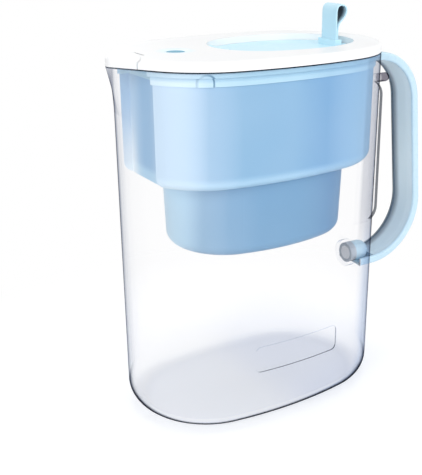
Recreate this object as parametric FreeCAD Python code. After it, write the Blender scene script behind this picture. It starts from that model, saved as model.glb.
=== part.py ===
import FreeCAD
import Part
import math
import os
from collections import namedtuple
from FreeCAD import Vector

# Water filter pitcher: a clear jug, a hopper that lifts out, a filter cartridge and a hinged lid.
# Millimetres. The origin is on the table under the middle of the jug, +Z up, +X towards the handle.

# Jug
RIM_HEIGHT = 248.0
RIM_LENGTH = 194.0
RIM_WIDTH = 126.0
WALL_TAPER = 1.5          # how far each side leans in from the rim down to the table
SIDE_CROWN = 3.0          # how far the long sides of every oval bow out past its end radius
JUG_WALL = 2.6
JUG_FLOOR = 4.0
BASE_ROUND = 16.0
LEDGE_DEPTH = 4.0         # rebate inside the rim that the hopper hangs on
RIM_LIP = 1.3             # wall left outside the rebate

# Pouring lip
SPOUT_REACH = 9.0         # tip past the end of the rim
SPOUT_TIP_RADIUS = 8.0
SPOUT_DROP = 33.0         # rim to where the lip runs out into the wall
SPOUT_FOOT_ANGLE = 5.0    # half the angle of the end arc that the tip runs out into

# Raised plate on the near side
PLATE_LENGTH = 68.0
PLATE_HEIGHT = 19.0
PLATE_CENTRE_HEIGHT = 51.0
PLATE_RAISE = 0.8
PLATE_CORNER = 4.0

# Rear rib and peg
RIB_REACH = 22.0
RIB_THICKNESS = 3.2
RIB_LOW = 106.0
RIB_HIGH = 219.0
RIB_CORNER = 12.0
PEG_RADIUS = 3.4
PEG_OVERHANG = 6.0        # how far the peg stands out past the rib

# Handle
HANDLE_WIDTH = 26.0
HANDLE_THICKNESS = 6.0
HANDLE_REACH_TOP = 45.0   # rear of the rim to the outside of the grip
HANDLE_REACH_LOW = 61.0
HANDLE_TOP_DROP = 6.0     # rim to the upper face of the top arm
HANDLE_LOW = 75.0         # table to the lower face of the bottom arm
HANDLE_TOP_CORNER = 41.0
HANDLE_LOW_CORNER = 46.0
HANDLE_EDGE_ROUND = 1.5
HANDLE_SHELL = 1.8
LINER_THICKNESS = 3.8
LINER_RECESS = 0.2        # inner face of the liner below the edges of the shell
TONGUE_LENGTH = 11.0
HANDLE_FIT = 0.15
HANDLE_PLUG_RADIUS = 7.8
HANDLE_PLUG_OUT = 13.0    # plug outside the wall, with its domed end
HANDLE_PLUG_IN = 4.5      # plug inside the wall
PLUG_SOCKET_WALL = 2.6
PLUG_SOCKET_END = 2.0

# Hopper
HOPPER_WALL = 1.8
HOPPER_GAP = 2.2          # tub to the jug's inside
COLLAR_HEIGHT = 9.5
COLLAR_GAP = 0.9
FLANGE_GAP = 0.3
TUB_DEPTH = 77.0          # rim to the underside of the tub
TUB_ROUND = 8.0
CHANNEL_WIDTH = 48.0      # pouring channel between the hopper and the lip
CHANNEL_SETBACK = 17.0
CATCH_WIDTH = 9.0
CATCH_HEIGHT = 7.5
CATCH_RAISE = 0.5
CATCH_SETBACK = 33.0      # spout end of the rim to the catches
SOCKET_END_MARGIN = 29.0  # rim to the socket, seen from above
SOCKET_SIDE_MARGIN = 17.0
SOCKET_DEPTH = 52.0
SOCKET_CENTRE = 3.0
SOCKET_DRAFT = 2.0
SOCKET_ROUND = 8.0
OUTLET_RADIUS = 5.0
OUTLET_LENGTH = 2.0

# Filter cartridge
FILTER_GAP = 0.8
FILTER_WALL = 1.6
FILTER_STAND = 2.0        # underside of the cartridge above the socket's floor
FLANGE_OVERHANG = 5.0
FLANGE_THICKNESS = 3.0
SEAL_THICKNESS = 1.5
SEAL_WIDTH = 4.0
PAD_THICKNESS = 2.0
PAD_FIT = 0.2
CAP_THICKNESS = 2.0
CAP_FIT = 0.2
ROSETTE_SLOTS = 12
ROSETTE_INNER = 7.0
ROSETTE_MARGIN = 6.0      # slots to the grip
SLOT_WIDTH = 2.0
GRIP_RADIUS = 17.0
GRIP_THICKNESS = 12.0
GRIP_WEB = 4.0
GRIP_RIM = 4.0

# Lid
LID_HEIGHT = 6.0
LID_PLATE = 2.2
LID_SIDE = 2.4
LID_EDGE_ROUND = 2.0
LID_BASE_PLATE = 1.5
LID_BASE_GAP = 0.2
SKIRT_DEPTH = 6.0
SKIRT_THICKNESS = 1.6
SKIRT_GAP = 0.5

# Refill recess, flap and strap
RECESS_EXTRA = 11.0       # length of the recess past half the rim's
RECESS_SIDE = 24.0        # long side of the lid to the recess
RECESS_MARGIN = 18.0      # rear of the lid to the recess
RECESS_DEPTH = 4.5
RECESS_WALL = 1.8
SEAT_WIDTH = 2.5
SEAT_THICKNESS = 1.5
FLAP_THICKNESS = 2.0
FLAP_GAP = 0.5
DISH_BORDER = 3.0
DISH_SLOPE = 10.0
DISH_DEPTH = 0.7
HINGE_INSET = 4.5
HINGE_RISE = 2.25         # hinge line above the flap, so that its wide sides clear the recess as it swings
BARREL_RADIUS = 2.2
FLAP_PIN_RADIUS = 1.2
PIN_CLEARANCE = 0.05
PIN_SEAT = 1.0            # length of each pin end held in the lid
BARREL_GAP = 0.6
STRAP_WIDTH = 16.5
STRAP_THICKNESS = 1.2
STRAP_HEIGHT = 28.0       # flap to the top of the loop
STRAP_STEM = 14.0         # flap to where the two layers part
STRAP_LOOP_RADIUS = 4.8
STRAP_LEAN = 3.6
STRAP_INSET = 11.5
STRAP_PAD_HEIGHT = 3.7    # raised pad on the flap that the strap comes out of
STRAP_PAD_BORDER = 1.5
STRAP_FOOT = 3.0
STRAP_FOOT_THICKNESS = 1.5
STRAP_FIT = 0.1

# Spout cover
SEAM_SETBACK = 10.0       # spout end of the rim to the middle of the cover's rear edge
SEAM_RADIUS = 42.0        # curve of that edge seen from above
SEAM_GAP = 0.4
COVER_BARREL_RADIUS = 2.6
COVER_BARREL_LENGTH = 14.0
COVER_BARREL_GAP = 0.35
COVER_PIN_RADIUS = 1.2
COVER_PIN_SEAT = 4.0
COVER_LUG_WIDTH = 5.0

# Indicator
POD_RADIUS = 15.0
POD_WALL = 1.4
POD_OFFSET = 0.5          # towards the recess from halfway between it and the cover
BUTTON_RADIUS = 6.0
BUTTON_GAP = 0.3
BUTTON_FLANGE = 1.2
BUTTON_FLANGE_THICKNESS = 0.6
BUTTON_RECESS = 0.3
DIMPLE_WIDTH = 2.5
BUTTON_TRAVEL = 0.8
SWITCH_SIDE = 6.0
SWITCH_HEIGHT = 2.4
PLUNGER_RADIUS = 1.6
PLUNGER_CLEARANCE = 0.05
BOARD_RADIUS = 13.0
BOARD_THICKNESS = 1.0
LAMP_SIDE = 2.8
LAMP_HEIGHT = 1.2
LAMP_OFFSET = 8.0
CELL_RADIUS = 10.0
CELL_THICKNESS = 3.2
CONTACT_THICKNESS = 0.4
CONTACT_WIDTH = 4.0
CELL_CLEARANCE = 0.2
DOOR_THICKNESS = 1.4
DOOR_GAP = 0.2
SCREW_RADIUS = 1.0
SCREW_HEAD_RADIUS = 1.6
SCREW_HEAD = 0.7
SCREW_LENGTH = 3.5
SCREW_POST_WALL = 1.2

# Heights and places worked out from the sizes above
BASE_LENGTH = RIM_LENGTH - 2 * WALL_TAPER
BASE_WIDTH = RIM_WIDTH - 2 * WALL_TAPER
LID_TOP = RIM_HEIGHT + LID_HEIGHT
PLATE_UNDER = LID_TOP - LID_PLATE
LEDGE_Z = RIM_HEIGHT - LEDGE_DEPTH
COLLAR_Z = RIM_HEIGHT - COLLAR_HEIGHT
TUB_Z = RIM_HEIGHT - TUB_DEPTH
TUB_FLOOR_Z = TUB_Z + HOPPER_WALL
SOCKET_Z = TUB_Z - SOCKET_DEPTH
SOCKET_FLOOR_Z = SOCKET_Z + HOPPER_WALL
CHANNEL_X = CHANNEL_SETBACK - RIM_LENGTH / 2
CATCH_X = CATCH_SETBACK - RIM_LENGTH / 2
SOCKET_LENGTH = RIM_LENGTH - 2 * SOCKET_END_MARGIN
SOCKET_WIDTH = RIM_WIDTH - 2 * SOCKET_SIDE_MARGIN
OUTLET_SPACING = SOCKET_LENGTH / 2
ROSETTE_OFFSET = SOCKET_LENGTH / 4
ROSETTE_OUTER = ROSETTE_OFFSET - GRIP_THICKNESS / 2 - ROSETTE_MARGIN
FLAP_TOP = LID_TOP - RECESS_DEPTH
FLAP_UNDER = FLAP_TOP - FLAP_THICKNESS
SEAT_UNDER = FLAP_UNDER - SEAT_THICKNESS
RECESS_LENGTH = RIM_LENGTH / 2 + RECESS_EXTRA
RECESS_WIDTH = RIM_WIDTH - 2 * RECESS_SIDE
RECESS_CENTRE = RIM_LENGTH / 2 - RECESS_MARGIN - RECESS_LENGTH / 2
RECESS_END = RECESS_CENTRE - RECESS_LENGTH / 2
HINGE_X = RECESS_END + HINGE_INSET
HINGE_Z = FLAP_TOP + HINGE_RISE
STRAP_X = RECESS_CENTRE + RECESS_LENGTH / 2 - STRAP_INSET
SEAM_FORWARD = RIM_LENGTH / 2 - SEAM_SETBACK
COVER_X = COVER_BARREL_RADIUS - SEAM_FORWARD
POD_FORWARD = (SEAM_FORWARD - RECESS_END) / 2 - POD_OFFSET
COVER_Z = LID_TOP - COVER_BARREL_RADIUS
FILTER_Z = SOCKET_FLOOR_Z + FILTER_STAND
FLANGE_Z = TUB_FLOOR_Z + SEAL_THICKNESS
FILTER_TOP = FLANGE_Z + FLANGE_THICKNESS
PLUG_Z = HANDLE_LOW + HANDLE_SHELL / 2 + HANDLE_PLUG_RADIUS
BUTTON_TOP = LID_TOP - BUTTON_RECESS
FLANGE_TOP = PLATE_UNDER - BUTTON_GAP
STEM_UNDER = FLANGE_TOP - BUTTON_FLANGE_THICKNESS
SWITCH_TOP = STEM_UNDER - BUTTON_TRAVEL - BUTTON_GAP
BOARD_TOP = SWITCH_TOP - SWITCH_HEIGHT
BOARD_UNDER = BOARD_TOP - BOARD_THICKNESS
CELL_TOP = BOARD_UNDER - CONTACT_THICKNESS - CELL_CLEARANCE
CELL_UNDER = CELL_TOP - CELL_THICKNESS
DOOR_TOP = CELL_UNDER - CELL_CLEARANCE
DOOR_UNDER = DOOR_TOP - DOOR_THICKNESS
SCREW_OFFSET = POD_RADIUS - POD_WALL - SCREW_HEAD_RADIUS

UP = Vector(0, 0, 1)
ACROSS = Vector(0, 1, 0)
ALONG = Vector(1, 0, 0)

Oval = namedtuple("Oval", "half_length half_width centre")


def oval(length, width, centre=0.0):
    """Plan outline of four tangent arcs with the given overall length and width."""
    return Oval(length / 2, width / 2, centre)


def inset(outline, distance):
    """The same outline moved inwards by a distance; a negative distance moves it outwards."""
    return Oval(outline.half_length - distance, outline.half_width - distance, outline.centre)


def jug_outline(z):
    """Outside of the jug's wall at height z."""
    share = z / RIM_HEIGHT
    length = BASE_LENGTH + (RIM_LENGTH - BASE_LENGTH) * share
    width = BASE_WIDTH + (RIM_WIDTH - BASE_WIDTH) * share
    return oval(length, width)


def arc(centre, radius, start, end):
    """Arc in a horizontal plane about a centre, between two angles."""
    points = []
    for angle in (start, (start + end) / 2, end):
        points.append(centre + Vector(math.cos(angle), math.sin(angle), 0) * radius)
    return Part.Arc(*points).toShape()


def oval_wire(outline, z):
    """Closed wire of an oval at height z."""
    end_radius = outline.half_width - SIDE_CROWN
    reach = outline.half_length - end_radius
    side_radius = (reach ** 2 + outline.half_width ** 2 - end_radius ** 2) / (2 * SIDE_CROWN)
    turn = math.atan2(side_radius - outline.half_width, reach)
    middle = Vector(outline.centre, 0, z)
    side = ACROSS * (side_radius - outline.half_width)
    return Part.Wire([
        arc(middle + ALONG * reach, end_radius, -turn, turn),
        arc(middle - side, side_radius, turn, math.pi - turn),
        arc(middle - ALONG * reach, end_radius, math.pi - turn, math.pi + turn),
        arc(middle + side, side_radius, math.pi + turn, 2 * math.pi - turn),
    ])


def oval_solid(low, low_z, high, high_z, round_radius=0.0):
    """Tapered solid between two ovals, with its lower edge rounded if a radius is given."""
    solid = Part.makeLoft([oval_wire(low, low_z), oval_wire(high, high_z)], True, True)
    if round_radius > 0:
        edges = [edge for edge in solid.Edges if edge.BoundBox.ZMax < low_z + 1e-3]
        solid = solid.makeFillet(round_radius, edges)
    return solid


def oval_prism(outline, low_z, high_z):
    """Straight-sided solid on an oval."""
    return oval_solid(outline, low_z, outline, high_z)


def pear_wire(first, first_radius, second, second_radius):
    """Horizontal outline round two circles and the tangent lines between them."""
    spread = math.acos((first_radius - second_radius) / (second - first).Length)
    towards = math.atan2(second.y - first.y, second.x - first.x)
    upper = Vector(math.cos(towards + spread), math.sin(towards + spread), 0)
    lower = Vector(math.cos(towards - spread), math.sin(towards - spread), 0)
    turn = 2 * math.pi
    return Part.Wire([
        Part.makeLine(second + lower * second_radius, first + lower * first_radius),
        arc(first, first_radius, towards - spread, towards + spread - turn),
        Part.makeLine(first + upper * first_radius, second + upper * second_radius),
        arc(second, second_radius, towards + spread, towards - spread),
    ])


def lip_wire(outline, z, reach):
    """Oval wire at height z whose spout end is drawn out to a tip; a reach of nothing keeps the end round."""
    end_radius = outline.half_width - SIDE_CROWN
    length = outline.half_length - end_radius
    side_radius = (length ** 2 + outline.half_width ** 2 - end_radius ** 2) / (2 * SIDE_CROWN)
    turn = math.atan2(side_radius - outline.half_width, length)
    middle = Vector(outline.centre, 0, z)
    side = ACROSS * (side_radius - outline.half_width)
    end = middle - ALONG * length
    rim_radius = RIM_WIDTH / 2 - SIDE_CROWN
    spread = math.acos((rim_radius - SPOUT_TIP_RADIUS) / (rim_radius + SPOUT_REACH - SPOUT_TIP_RADIUS))
    foot = math.radians(SPOUT_FOOT_ANGLE)
    flat = math.pi
    edges = [
        arc(middle + ALONG * length, end_radius, -turn, turn),
        arc(middle - side, side_radius, turn, flat - turn),
        arc(end, end_radius, flat - turn, flat - spread),
    ]
    if reach > 0:
        tip_radius = SPOUT_TIP_RADIUS - RIM_LENGTH / 2 + outline.half_length
        tip = end - ALONG * (rim_radius + reach - SPOUT_TIP_RADIUS)
        nose = arc(tip, tip_radius, flat - spread, flat + spread)
        edges.append(Part.makeLine(edges[-1].Vertexes[-1].Point, nose.Vertexes[0].Point))
        edges.append(nose)
        low_start = end + Vector(math.cos(flat + spread), math.sin(flat + spread), 0) * end_radius
        edges.append(Part.makeLine(nose.Vertexes[-1].Point, low_start))
    else:
        edges.append(arc(end, end_radius, flat - spread, flat - foot))
        edges.append(arc(end, end_radius, flat - foot, flat + foot))
        edges.append(arc(end, end_radius, flat + foot, flat + spread))
    edges.append(arc(end, end_radius, flat + spread, flat + turn))
    edges.append(arc(middle + side, side_radius, flat + turn, 2 * flat - turn))
    return Part.Wire(edges)


def lip_solid(distance):
    """Upper part of the jug's outside, where its end grows into the lip, moved inwards by a distance."""
    low_z = RIM_HEIGHT - SPOUT_DROP
    low = lip_wire(inset(jug_outline(low_z), distance), low_z, 0.0)
    high = lip_wire(inset(jug_outline(RIM_HEIGHT), distance), RIM_HEIGHT, SPOUT_REACH)
    return Part.makeLoft([low, high], True, True)


def lid_outline(distance, low_z, high_z):
    """Straight-sided solid on the jug's rim outline with its lip, moved inwards by a distance."""
    wire = lip_wire(inset(jug_outline(RIM_HEIGHT), distance), low_z, SPOUT_REACH)
    return Part.Face(wire).extrude(UP * (high_z - low_z))


def lid_block():
    """Outside of the closed lid with its top edge rounded."""
    solid = lid_outline(0.0, RIM_HEIGHT, LID_TOP)
    return solid.makeFillet(LID_EDGE_ROUND, [edge for edge in solid.Edges if edge.BoundBox.ZMin > LID_TOP - 1e-3])


def block(x0, x1, half_width, z0, z1):
    """Box between two X and two Z values, centred on Y."""
    return Part.makeBox(x1 - x0, 2 * half_width, z1 - z0, Vector(x0, -half_width, z0))


def rod(x, z, radius, length):
    """Cylinder along Y, centred on Y."""
    return Part.makeCylinder(radius, length, Vector(x, -length / 2, z), ACROSS)


def post(x, radius, low_z, high_z, y=0.0):
    """Upright cylinder."""
    return Part.makeCylinder(radius, high_z - low_z, Vector(x, y, low_z), UP)


def rounded_block(x0, x1, half_width, z0, z1, corner):
    """Box whose four edges along Y are rounded."""
    solid = block(x0, x1, half_width, z0, z1)
    edges = [edge for edge in solid.Edges if edge.BoundBox.YLength > half_width]
    return solid.makeFillet(corner, edges)


def path_points(distance):
    """Corners of the handle's outer line in the X-Z plane, moved towards the jug by a distance."""
    rear = RIM_LENGTH / 2
    top = RIM_HEIGHT - HANDLE_TOP_DROP - distance
    low = HANDLE_LOW + distance
    slope = (HANDLE_REACH_LOW - HANDLE_REACH_TOP) / (RIM_HEIGHT - HANDLE_TOP_DROP - HANDLE_LOW)
    shift = distance * math.hypot(1, slope)
    reach_top = HANDLE_REACH_TOP + slope * distance - shift
    reach_low = HANDLE_REACH_LOW - slope * distance - shift
    inside = rear - JUG_WALL - HANDLE_PLUG_IN
    return [Vector(inside, 0, top), Vector(rear + reach_top, 0, top),
            Vector(rear + reach_low, 0, low), Vector(inside, 0, low)]


def path_edges(distance):
    """Handle line with rounded corners, moved towards the jug by a distance."""
    points = path_points(distance)
    radii = (HANDLE_TOP_CORNER - distance, HANDLE_LOW_CORNER - distance)
    edges = []
    start = points[0]
    for before, corner, after, radius in zip(points, points[1:], points[2:], radii):
        back = (before - corner).normalize()
        ahead = (after - corner).normalize()
        half_angle = back.getAngle(ahead) / 2
        run = radius / math.tan(half_angle)
        bisector = (back + ahead).normalize()
        middle = corner + bisector * (radius / math.sin(half_angle) - radius)
        edges.append(Part.makeLine(start, corner + back * run))
        edges.append(Part.Arc(corner + back * run, middle, corner + ahead * run).toShape())
        start = corner + ahead * run
    edges.append(Part.makeLine(start, points[-1]))
    return edges


def handle_band(outer, inner, width):
    """Solid between two distances from the handle's outer line, centred on Y."""
    edges = path_edges(outer)
    back = path_edges(inner)
    edges.append(Part.makeLine(edges[-1].Vertexes[-1].Point, path_points(inner)[-1]))
    edges.extend(reversed(back))
    edges.append(Part.makeLine(path_points(inner)[0], path_points(outer)[0]))
    face = Part.Face(Part.Wire(Part.__sortEdges__(edges)))
    face.translate(ACROSS * (-width / 2))
    return face.extrude(ACROSS * width)


def jug_solid(distance):
    """Outside of the jug without its fittings, moved inwards by a distance."""
    return oval_solid(inset(jug_outline(0), distance), 0, inset(jug_outline(RIM_HEIGHT), distance), RIM_HEIGHT)


def tongue(gap):
    """Tongue under the rim that fills the open end of the handle's channel."""
    rear = RIM_LENGTH / 2
    z1 = RIM_HEIGHT - HANDLE_TOP_DROP - HANDLE_SHELL - gap
    z0 = RIM_HEIGHT - HANDLE_TOP_DROP - HANDLE_THICKNESS + gap
    return block(rear - JUG_WALL, rear + TONGUE_LENGTH, HANDLE_WIDTH / 2 - HANDLE_SHELL - gap, z0, z1)


def rear_rib():
    """Upright rib on the rear wall with a rounded free edge and a short peg on top."""
    rear = RIM_LENGTH / 2
    inside = rear - JUG_WALL
    plate = block(inside, rear + RIB_REACH, RIB_THICKNESS / 2, RIB_LOW, RIB_HIGH)
    free = [edge for edge in plate.Edges
            if edge.BoundBox.XMin > rear + RIB_REACH - 1e-3 and edge.BoundBox.YLength > RIB_THICKNESS / 2]
    plate = plate.makeFillet(RIB_CORNER, free)
    peg_length = JUG_WALL + RIB_REACH + PEG_OVERHANG - PEG_RADIUS
    peg_z = RIB_HIGH + PEG_RADIUS / 2
    peg = Part.makeCylinder(PEG_RADIUS, peg_length, Vector(inside, 0, peg_z), ALONG)
    tip = Part.makeSphere(PEG_RADIUS, Vector(inside + peg_length, 0, peg_z))
    return plate.fuse([peg, tip])


def pitcher_body():
    """Clear jug with its lip, raised plate, rear rib, handle tongue and blind plug socket."""
    rear = RIM_LENGTH / 2
    lip_z = RIM_HEIGHT - SPOUT_DROP
    outside = oval_solid(jug_outline(0), 0, jug_outline(lip_z), lip_z, BASE_ROUND)
    plate = rounded_block(-PLATE_LENGTH / 2, PLATE_LENGTH / 2, RIM_WIDTH,
                          PLATE_CENTRE_HEIGHT - PLATE_HEIGHT / 2, PLATE_CENTRE_HEIGHT + PLATE_HEIGHT / 2,
                          PLATE_CORNER)
    near = Part.makeBox(RIM_LENGTH, RIM_WIDTH, RIM_HEIGHT, Vector(-RIM_LENGTH / 2, -RIM_WIDTH, 0))
    plate = plate.common(near).common(jug_solid(-PLATE_RAISE))
    outside = outside.fuse([lip_solid(0.0), plate, rear_rib(), tongue(HANDLE_FIT)])
    inside = oval_solid(inset(jug_outline(JUG_FLOOR), JUG_WALL), JUG_FLOOR,
                        inset(jug_outline(lip_z), JUG_WALL), lip_z, BASE_ROUND - JUG_WALL)
    rebate = oval_prism(inset(jug_outline(RIM_HEIGHT), RIM_LIP), LEDGE_Z, RIM_HEIGHT)
    shell = outside.cut(inside.fuse([lip_solid(JUG_WALL), rebate]))
    bore_radius = HANDLE_PLUG_RADIUS + HANDLE_FIT
    bore_start = rear - JUG_WALL - HANDLE_PLUG_IN - HANDLE_FIT
    boss_start = bore_start - PLUG_SOCKET_END
    boss = Part.makeCylinder(bore_radius + PLUG_SOCKET_WALL, rear - boss_start, Vector(boss_start, 0, PLUG_Z), ALONG)
    boss = boss.common(jug_solid(JUG_WALL / 2))
    bore = Part.makeCylinder(bore_radius, RIM_LENGTH, Vector(bore_start, 0, PLUG_Z), ALONG)
    return shell.fuse(boss).cut(bore).removeSplitter()


def handle_shell():
    """Pale outer channel of the handle with the plug at its lower end."""
    rear = RIM_LENGTH / 2
    band = handle_band(0.0, HANDLE_THICKNESS, HANDLE_WIDTH)
    long_edges = [edge for edge in band.Edges
                  if edge.BoundBox.YLength < 1e-3 and edge.BoundBox.XMax > rear]
    band = band.makeFillet(HANDLE_EDGE_ROUND, long_edges)
    channel = handle_band(HANDLE_SHELL, HANDLE_THICKNESS + 1, HANDLE_WIDTH - 2 * HANDLE_SHELL)
    band = band.cut(channel).cut(jug_solid(-HANDLE_FIT))
    plug_start = rear - JUG_WALL - HANDLE_PLUG_IN
    plug_end = rear + HANDLE_PLUG_OUT - HANDLE_PLUG_RADIUS
    plug = Part.makeCylinder(HANDLE_PLUG_RADIUS, plug_end - plug_start, Vector(plug_start, 0, PLUG_Z), ALONG)
    dome = Part.makeSphere(HANDLE_PLUG_RADIUS, Vector(plug_end, 0, PLUG_Z))
    return band.fuse([plug, dome]).removeSplitter()


def handle_liner():
    """Inner face of the handle, set into the mouth of the channel."""
    rear = RIM_LENGTH / 2
    inner = HANDLE_THICKNESS - LINER_RECESS
    width = HANDLE_WIDTH - 2 * HANDLE_SHELL - 2 * HANDLE_FIT
    liner = handle_band(inner - LINER_THICKNESS, inner, width)
    clear = max(TONGUE_LENGTH, HANDLE_PLUG_OUT) + HANDLE_FIT
    return liner.cut(block(0, rear + clear, RIM_WIDTH, 0, RIM_HEIGHT))


def channel_cut(grow):
    """Space kept free at the spout end of the hopper, made larger by a wall thickness."""
    return block(-RIM_LENGTH, CHANNEL_X + grow, CHANNEL_WIDTH / 2 + grow, TUB_Z - 1, RIM_HEIGHT + 1)


def hopper():
    """Tub with collar, pouring channel, side catches and filter socket with two outlets."""
    wall = JUG_WALL + HOPPER_GAP
    tub = oval_solid(inset(jug_outline(TUB_Z), wall), TUB_Z, inset(jug_outline(RIM_HEIGHT), wall), RIM_HEIGHT,
                     TUB_ROUND)
    collar = oval_solid(inset(jug_outline(COLLAR_Z), JUG_WALL + COLLAR_GAP), COLLAR_Z,
                        inset(jug_outline(LEDGE_Z), JUG_WALL + COLLAR_GAP), LEDGE_Z)
    flange = oval_prism(inset(jug_outline(RIM_HEIGHT), RIM_LIP + FLANGE_GAP), LEDGE_Z, RIM_HEIGHT)
    catch_z = COLLAR_Z + CATCH_HEIGHT - CATCH_WIDTH / 2
    catch = block(CATCH_X - CATCH_WIDTH / 2, CATCH_X + CATCH_WIDTH / 2, RIM_WIDTH, COLLAR_Z, catch_z)
    catch = catch.fuse(rod(CATCH_X, catch_z, CATCH_WIDTH / 2, 2 * RIM_WIDTH))
    raised = oval_solid(inset(jug_outline(COLLAR_Z), JUG_WALL + COLLAR_GAP - CATCH_RAISE), COLLAR_Z,
                        inset(jug_outline(LEDGE_Z), JUG_WALL + COLLAR_GAP - CATCH_RAISE), LEDGE_Z)
    outside = tub.fuse([collar, flange, catch.common(raised)]).cut(channel_cut(0.0))
    inner_wall = wall + HOPPER_WALL
    inside = oval_solid(inset(jug_outline(TUB_FLOOR_Z), inner_wall), TUB_FLOOR_Z,
                        inset(jug_outline(RIM_HEIGHT), inner_wall), RIM_HEIGHT, TUB_ROUND - HOPPER_WALL)
    inside = inside.cut(channel_cut(HOPPER_WALL))
    socket_top = oval(SOCKET_LENGTH, SOCKET_WIDTH, SOCKET_CENTRE)
    socket = oval_solid(inset(socket_top, SOCKET_DRAFT), SOCKET_Z, socket_top, TUB_FLOOR_Z, SOCKET_ROUND)
    pocket = oval_solid(inset(socket_top, SOCKET_DRAFT + HOPPER_WALL), SOCKET_FLOOR_Z,
                        inset(socket_top, HOPPER_WALL), TUB_FLOOR_Z, SOCKET_ROUND - HOPPER_WALL)
    outlets = []
    holes = []
    for side in (-1, 1):
        x = SOCKET_CENTRE + side * OUTLET_SPACING / 2
        outlets.append(post(x, OUTLET_RADIUS + HOPPER_WALL, SOCKET_Z - OUTLET_LENGTH, SOCKET_FLOOR_Z))
        holes.append(post(x, OUTLET_RADIUS, SOCKET_Z - OUTLET_LENGTH, SOCKET_FLOOR_Z))
    solid = outside.fuse([socket] + outlets)
    return solid.cut(inside.fuse([pocket] + holes)).removeSplitter()


def filter_outline(distance):
    """Top outline of the cartridge's cup, moved inwards by a distance."""
    return inset(oval(SOCKET_LENGTH, SOCKET_WIDTH, SOCKET_CENTRE), HOPPER_WALL + FILTER_GAP + distance)


def filter_layer(distance, low_z, high_z):
    """Tapered slice of the cartridge between two heights, following the cup's draft."""
    slope = SOCKET_DRAFT / (TUB_FLOOR_Z - SOCKET_Z)
    low = inset(filter_outline(distance), slope * (FLANGE_Z - low_z))
    high = inset(filter_outline(distance), slope * (FLANGE_Z - high_z))
    return oval_solid(low, low_z, high, high_z)


def filter_casing():
    """White cup of the cartridge with the flange that carries it and a drain grid."""
    slope = SOCKET_DRAFT / (TUB_FLOOR_Z - SOCKET_Z)
    low = inset(filter_outline(0.0), slope * (FLANGE_Z - FILTER_Z))
    cup = oval_solid(low, FILTER_Z, filter_outline(0.0), FLANGE_Z, SOCKET_ROUND - HOPPER_WALL)
    flange = oval_prism(filter_outline(-FLANGE_OVERHANG), FLANGE_Z, FILTER_TOP)
    floor_z = FILTER_Z + SOCKET_ROUND - HOPPER_WALL
    inside = filter_layer(FILTER_WALL, floor_z, FLANGE_Z)
    mouth = oval_prism(filter_outline(FILTER_WALL), FLANGE_Z, FILTER_TOP)
    drains = []
    for side in (-1, 1):
        x = SOCKET_CENTRE + side * OUTLET_SPACING / 2
        for step in range(-2, 3):
            drains.append(block(x + step * 2 * SLOT_WIDTH, x + (step * 2 + 1) * SLOT_WIDTH, ROSETTE_INNER,
                                FILTER_Z, floor_z))
    return cup.fuse(flange).cut(inside.fuse([mouth] + drains)).removeSplitter()


def cap_bottom():
    """Underside of the cartridge's cap."""
    return FILTER_TOP - CAP_THICKNESS


def filter_cap():
    """Cap with two rosettes of slots and a raised grip dished on both sides."""
    cap = oval_prism(filter_outline(FILTER_WALL + CAP_FIT), cap_bottom(), FILTER_TOP)
    slots = []
    for side in (-1, 1):
        centre = Vector(SOCKET_CENTRE + side * ROSETTE_OFFSET, 0, cap_bottom())
        for index in range(ROSETTE_SLOTS):
            slot = Part.makeBox(ROSETTE_OUTER - ROSETTE_INNER, SLOT_WIDTH, CAP_THICKNESS,
                                Vector(ROSETTE_INNER, -SLOT_WIDTH / 2, 0))
            slot.rotate(Vector(0, 0, 0), UP, 360 * index / ROSETTE_SLOTS)
            slot.translate(centre)
            slots.append(slot)
        slots.append(post(centre.x, SLOT_WIDTH, cap_bottom(), FILTER_TOP))
    cap = cap.cut(Part.makeCompound(slots))
    start = Vector(SOCKET_CENTRE - GRIP_THICKNESS / 2, 0, FILTER_TOP)
    above = block(-RIM_LENGTH, RIM_LENGTH, RIM_WIDTH, cap_bottom(), FILTER_TOP + GRIP_RADIUS)
    grip = Part.makeCylinder(GRIP_RADIUS, GRIP_THICKNESS, start, ALONG).common(above)
    dish_depth = (GRIP_THICKNESS - GRIP_WEB) / 2
    for x in (start.x, start.x + GRIP_THICKNESS - dish_depth):
        dish = Part.makeCylinder(GRIP_RADIUS - GRIP_RIM, dish_depth, Vector(x, 0, FILTER_TOP), ALONG)
        over = block(-RIM_LENGTH, RIM_LENGTH, RIM_WIDTH, FILTER_TOP, FILTER_TOP + GRIP_RADIUS)
        grip = grip.cut(dish.common(over))
    return cap.fuse(grip).removeSplitter()


def filter_seal():
    """Soft ring between the cartridge's flange and the floor of the tub."""
    ring = oval_prism(filter_outline(-SEAL_WIDTH), TUB_FLOOR_Z, FLANGE_Z)
    return ring.cut(oval_prism(filter_outline(-CAP_FIT), TUB_FLOOR_Z, FLANGE_Z))


def media_floor():
    """Inside floor of the cartridge's cup."""
    return FILTER_Z + SOCKET_ROUND - HOPPER_WALL


def filter_media():
    """Filter bed between the two pads."""
    return filter_layer(FILTER_WALL + PAD_FIT, media_floor() + PAD_THICKNESS, cap_bottom() - PAD_THICKNESS - PAD_FIT)


def filter_top_pad():
    """Felt pad on the filter bed."""
    low = cap_bottom() - PAD_THICKNESS - PAD_FIT
    return filter_layer(FILTER_WALL + 2 * PAD_FIT, low, cap_bottom() - PAD_FIT)


def filter_bottom_pad():
    """Felt pad under the filter bed."""
    return filter_layer(FILTER_WALL + 2 * PAD_FIT, media_floor(), media_floor() + PAD_THICKNESS)


def recess(distance):
    """Outline of the refill recess, moved inwards by a distance."""
    return inset(oval(RECESS_LENGTH, RECESS_WIDTH, RECESS_CENTRE), distance)


def hinge_half_width(depth):
    """Half the width of the recess at a given depth from its spout end."""
    radius = RECESS_WIDTH / 2 - SIDE_CROWN
    return math.sqrt(radius ** 2 - (radius - depth) ** 2)


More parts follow.
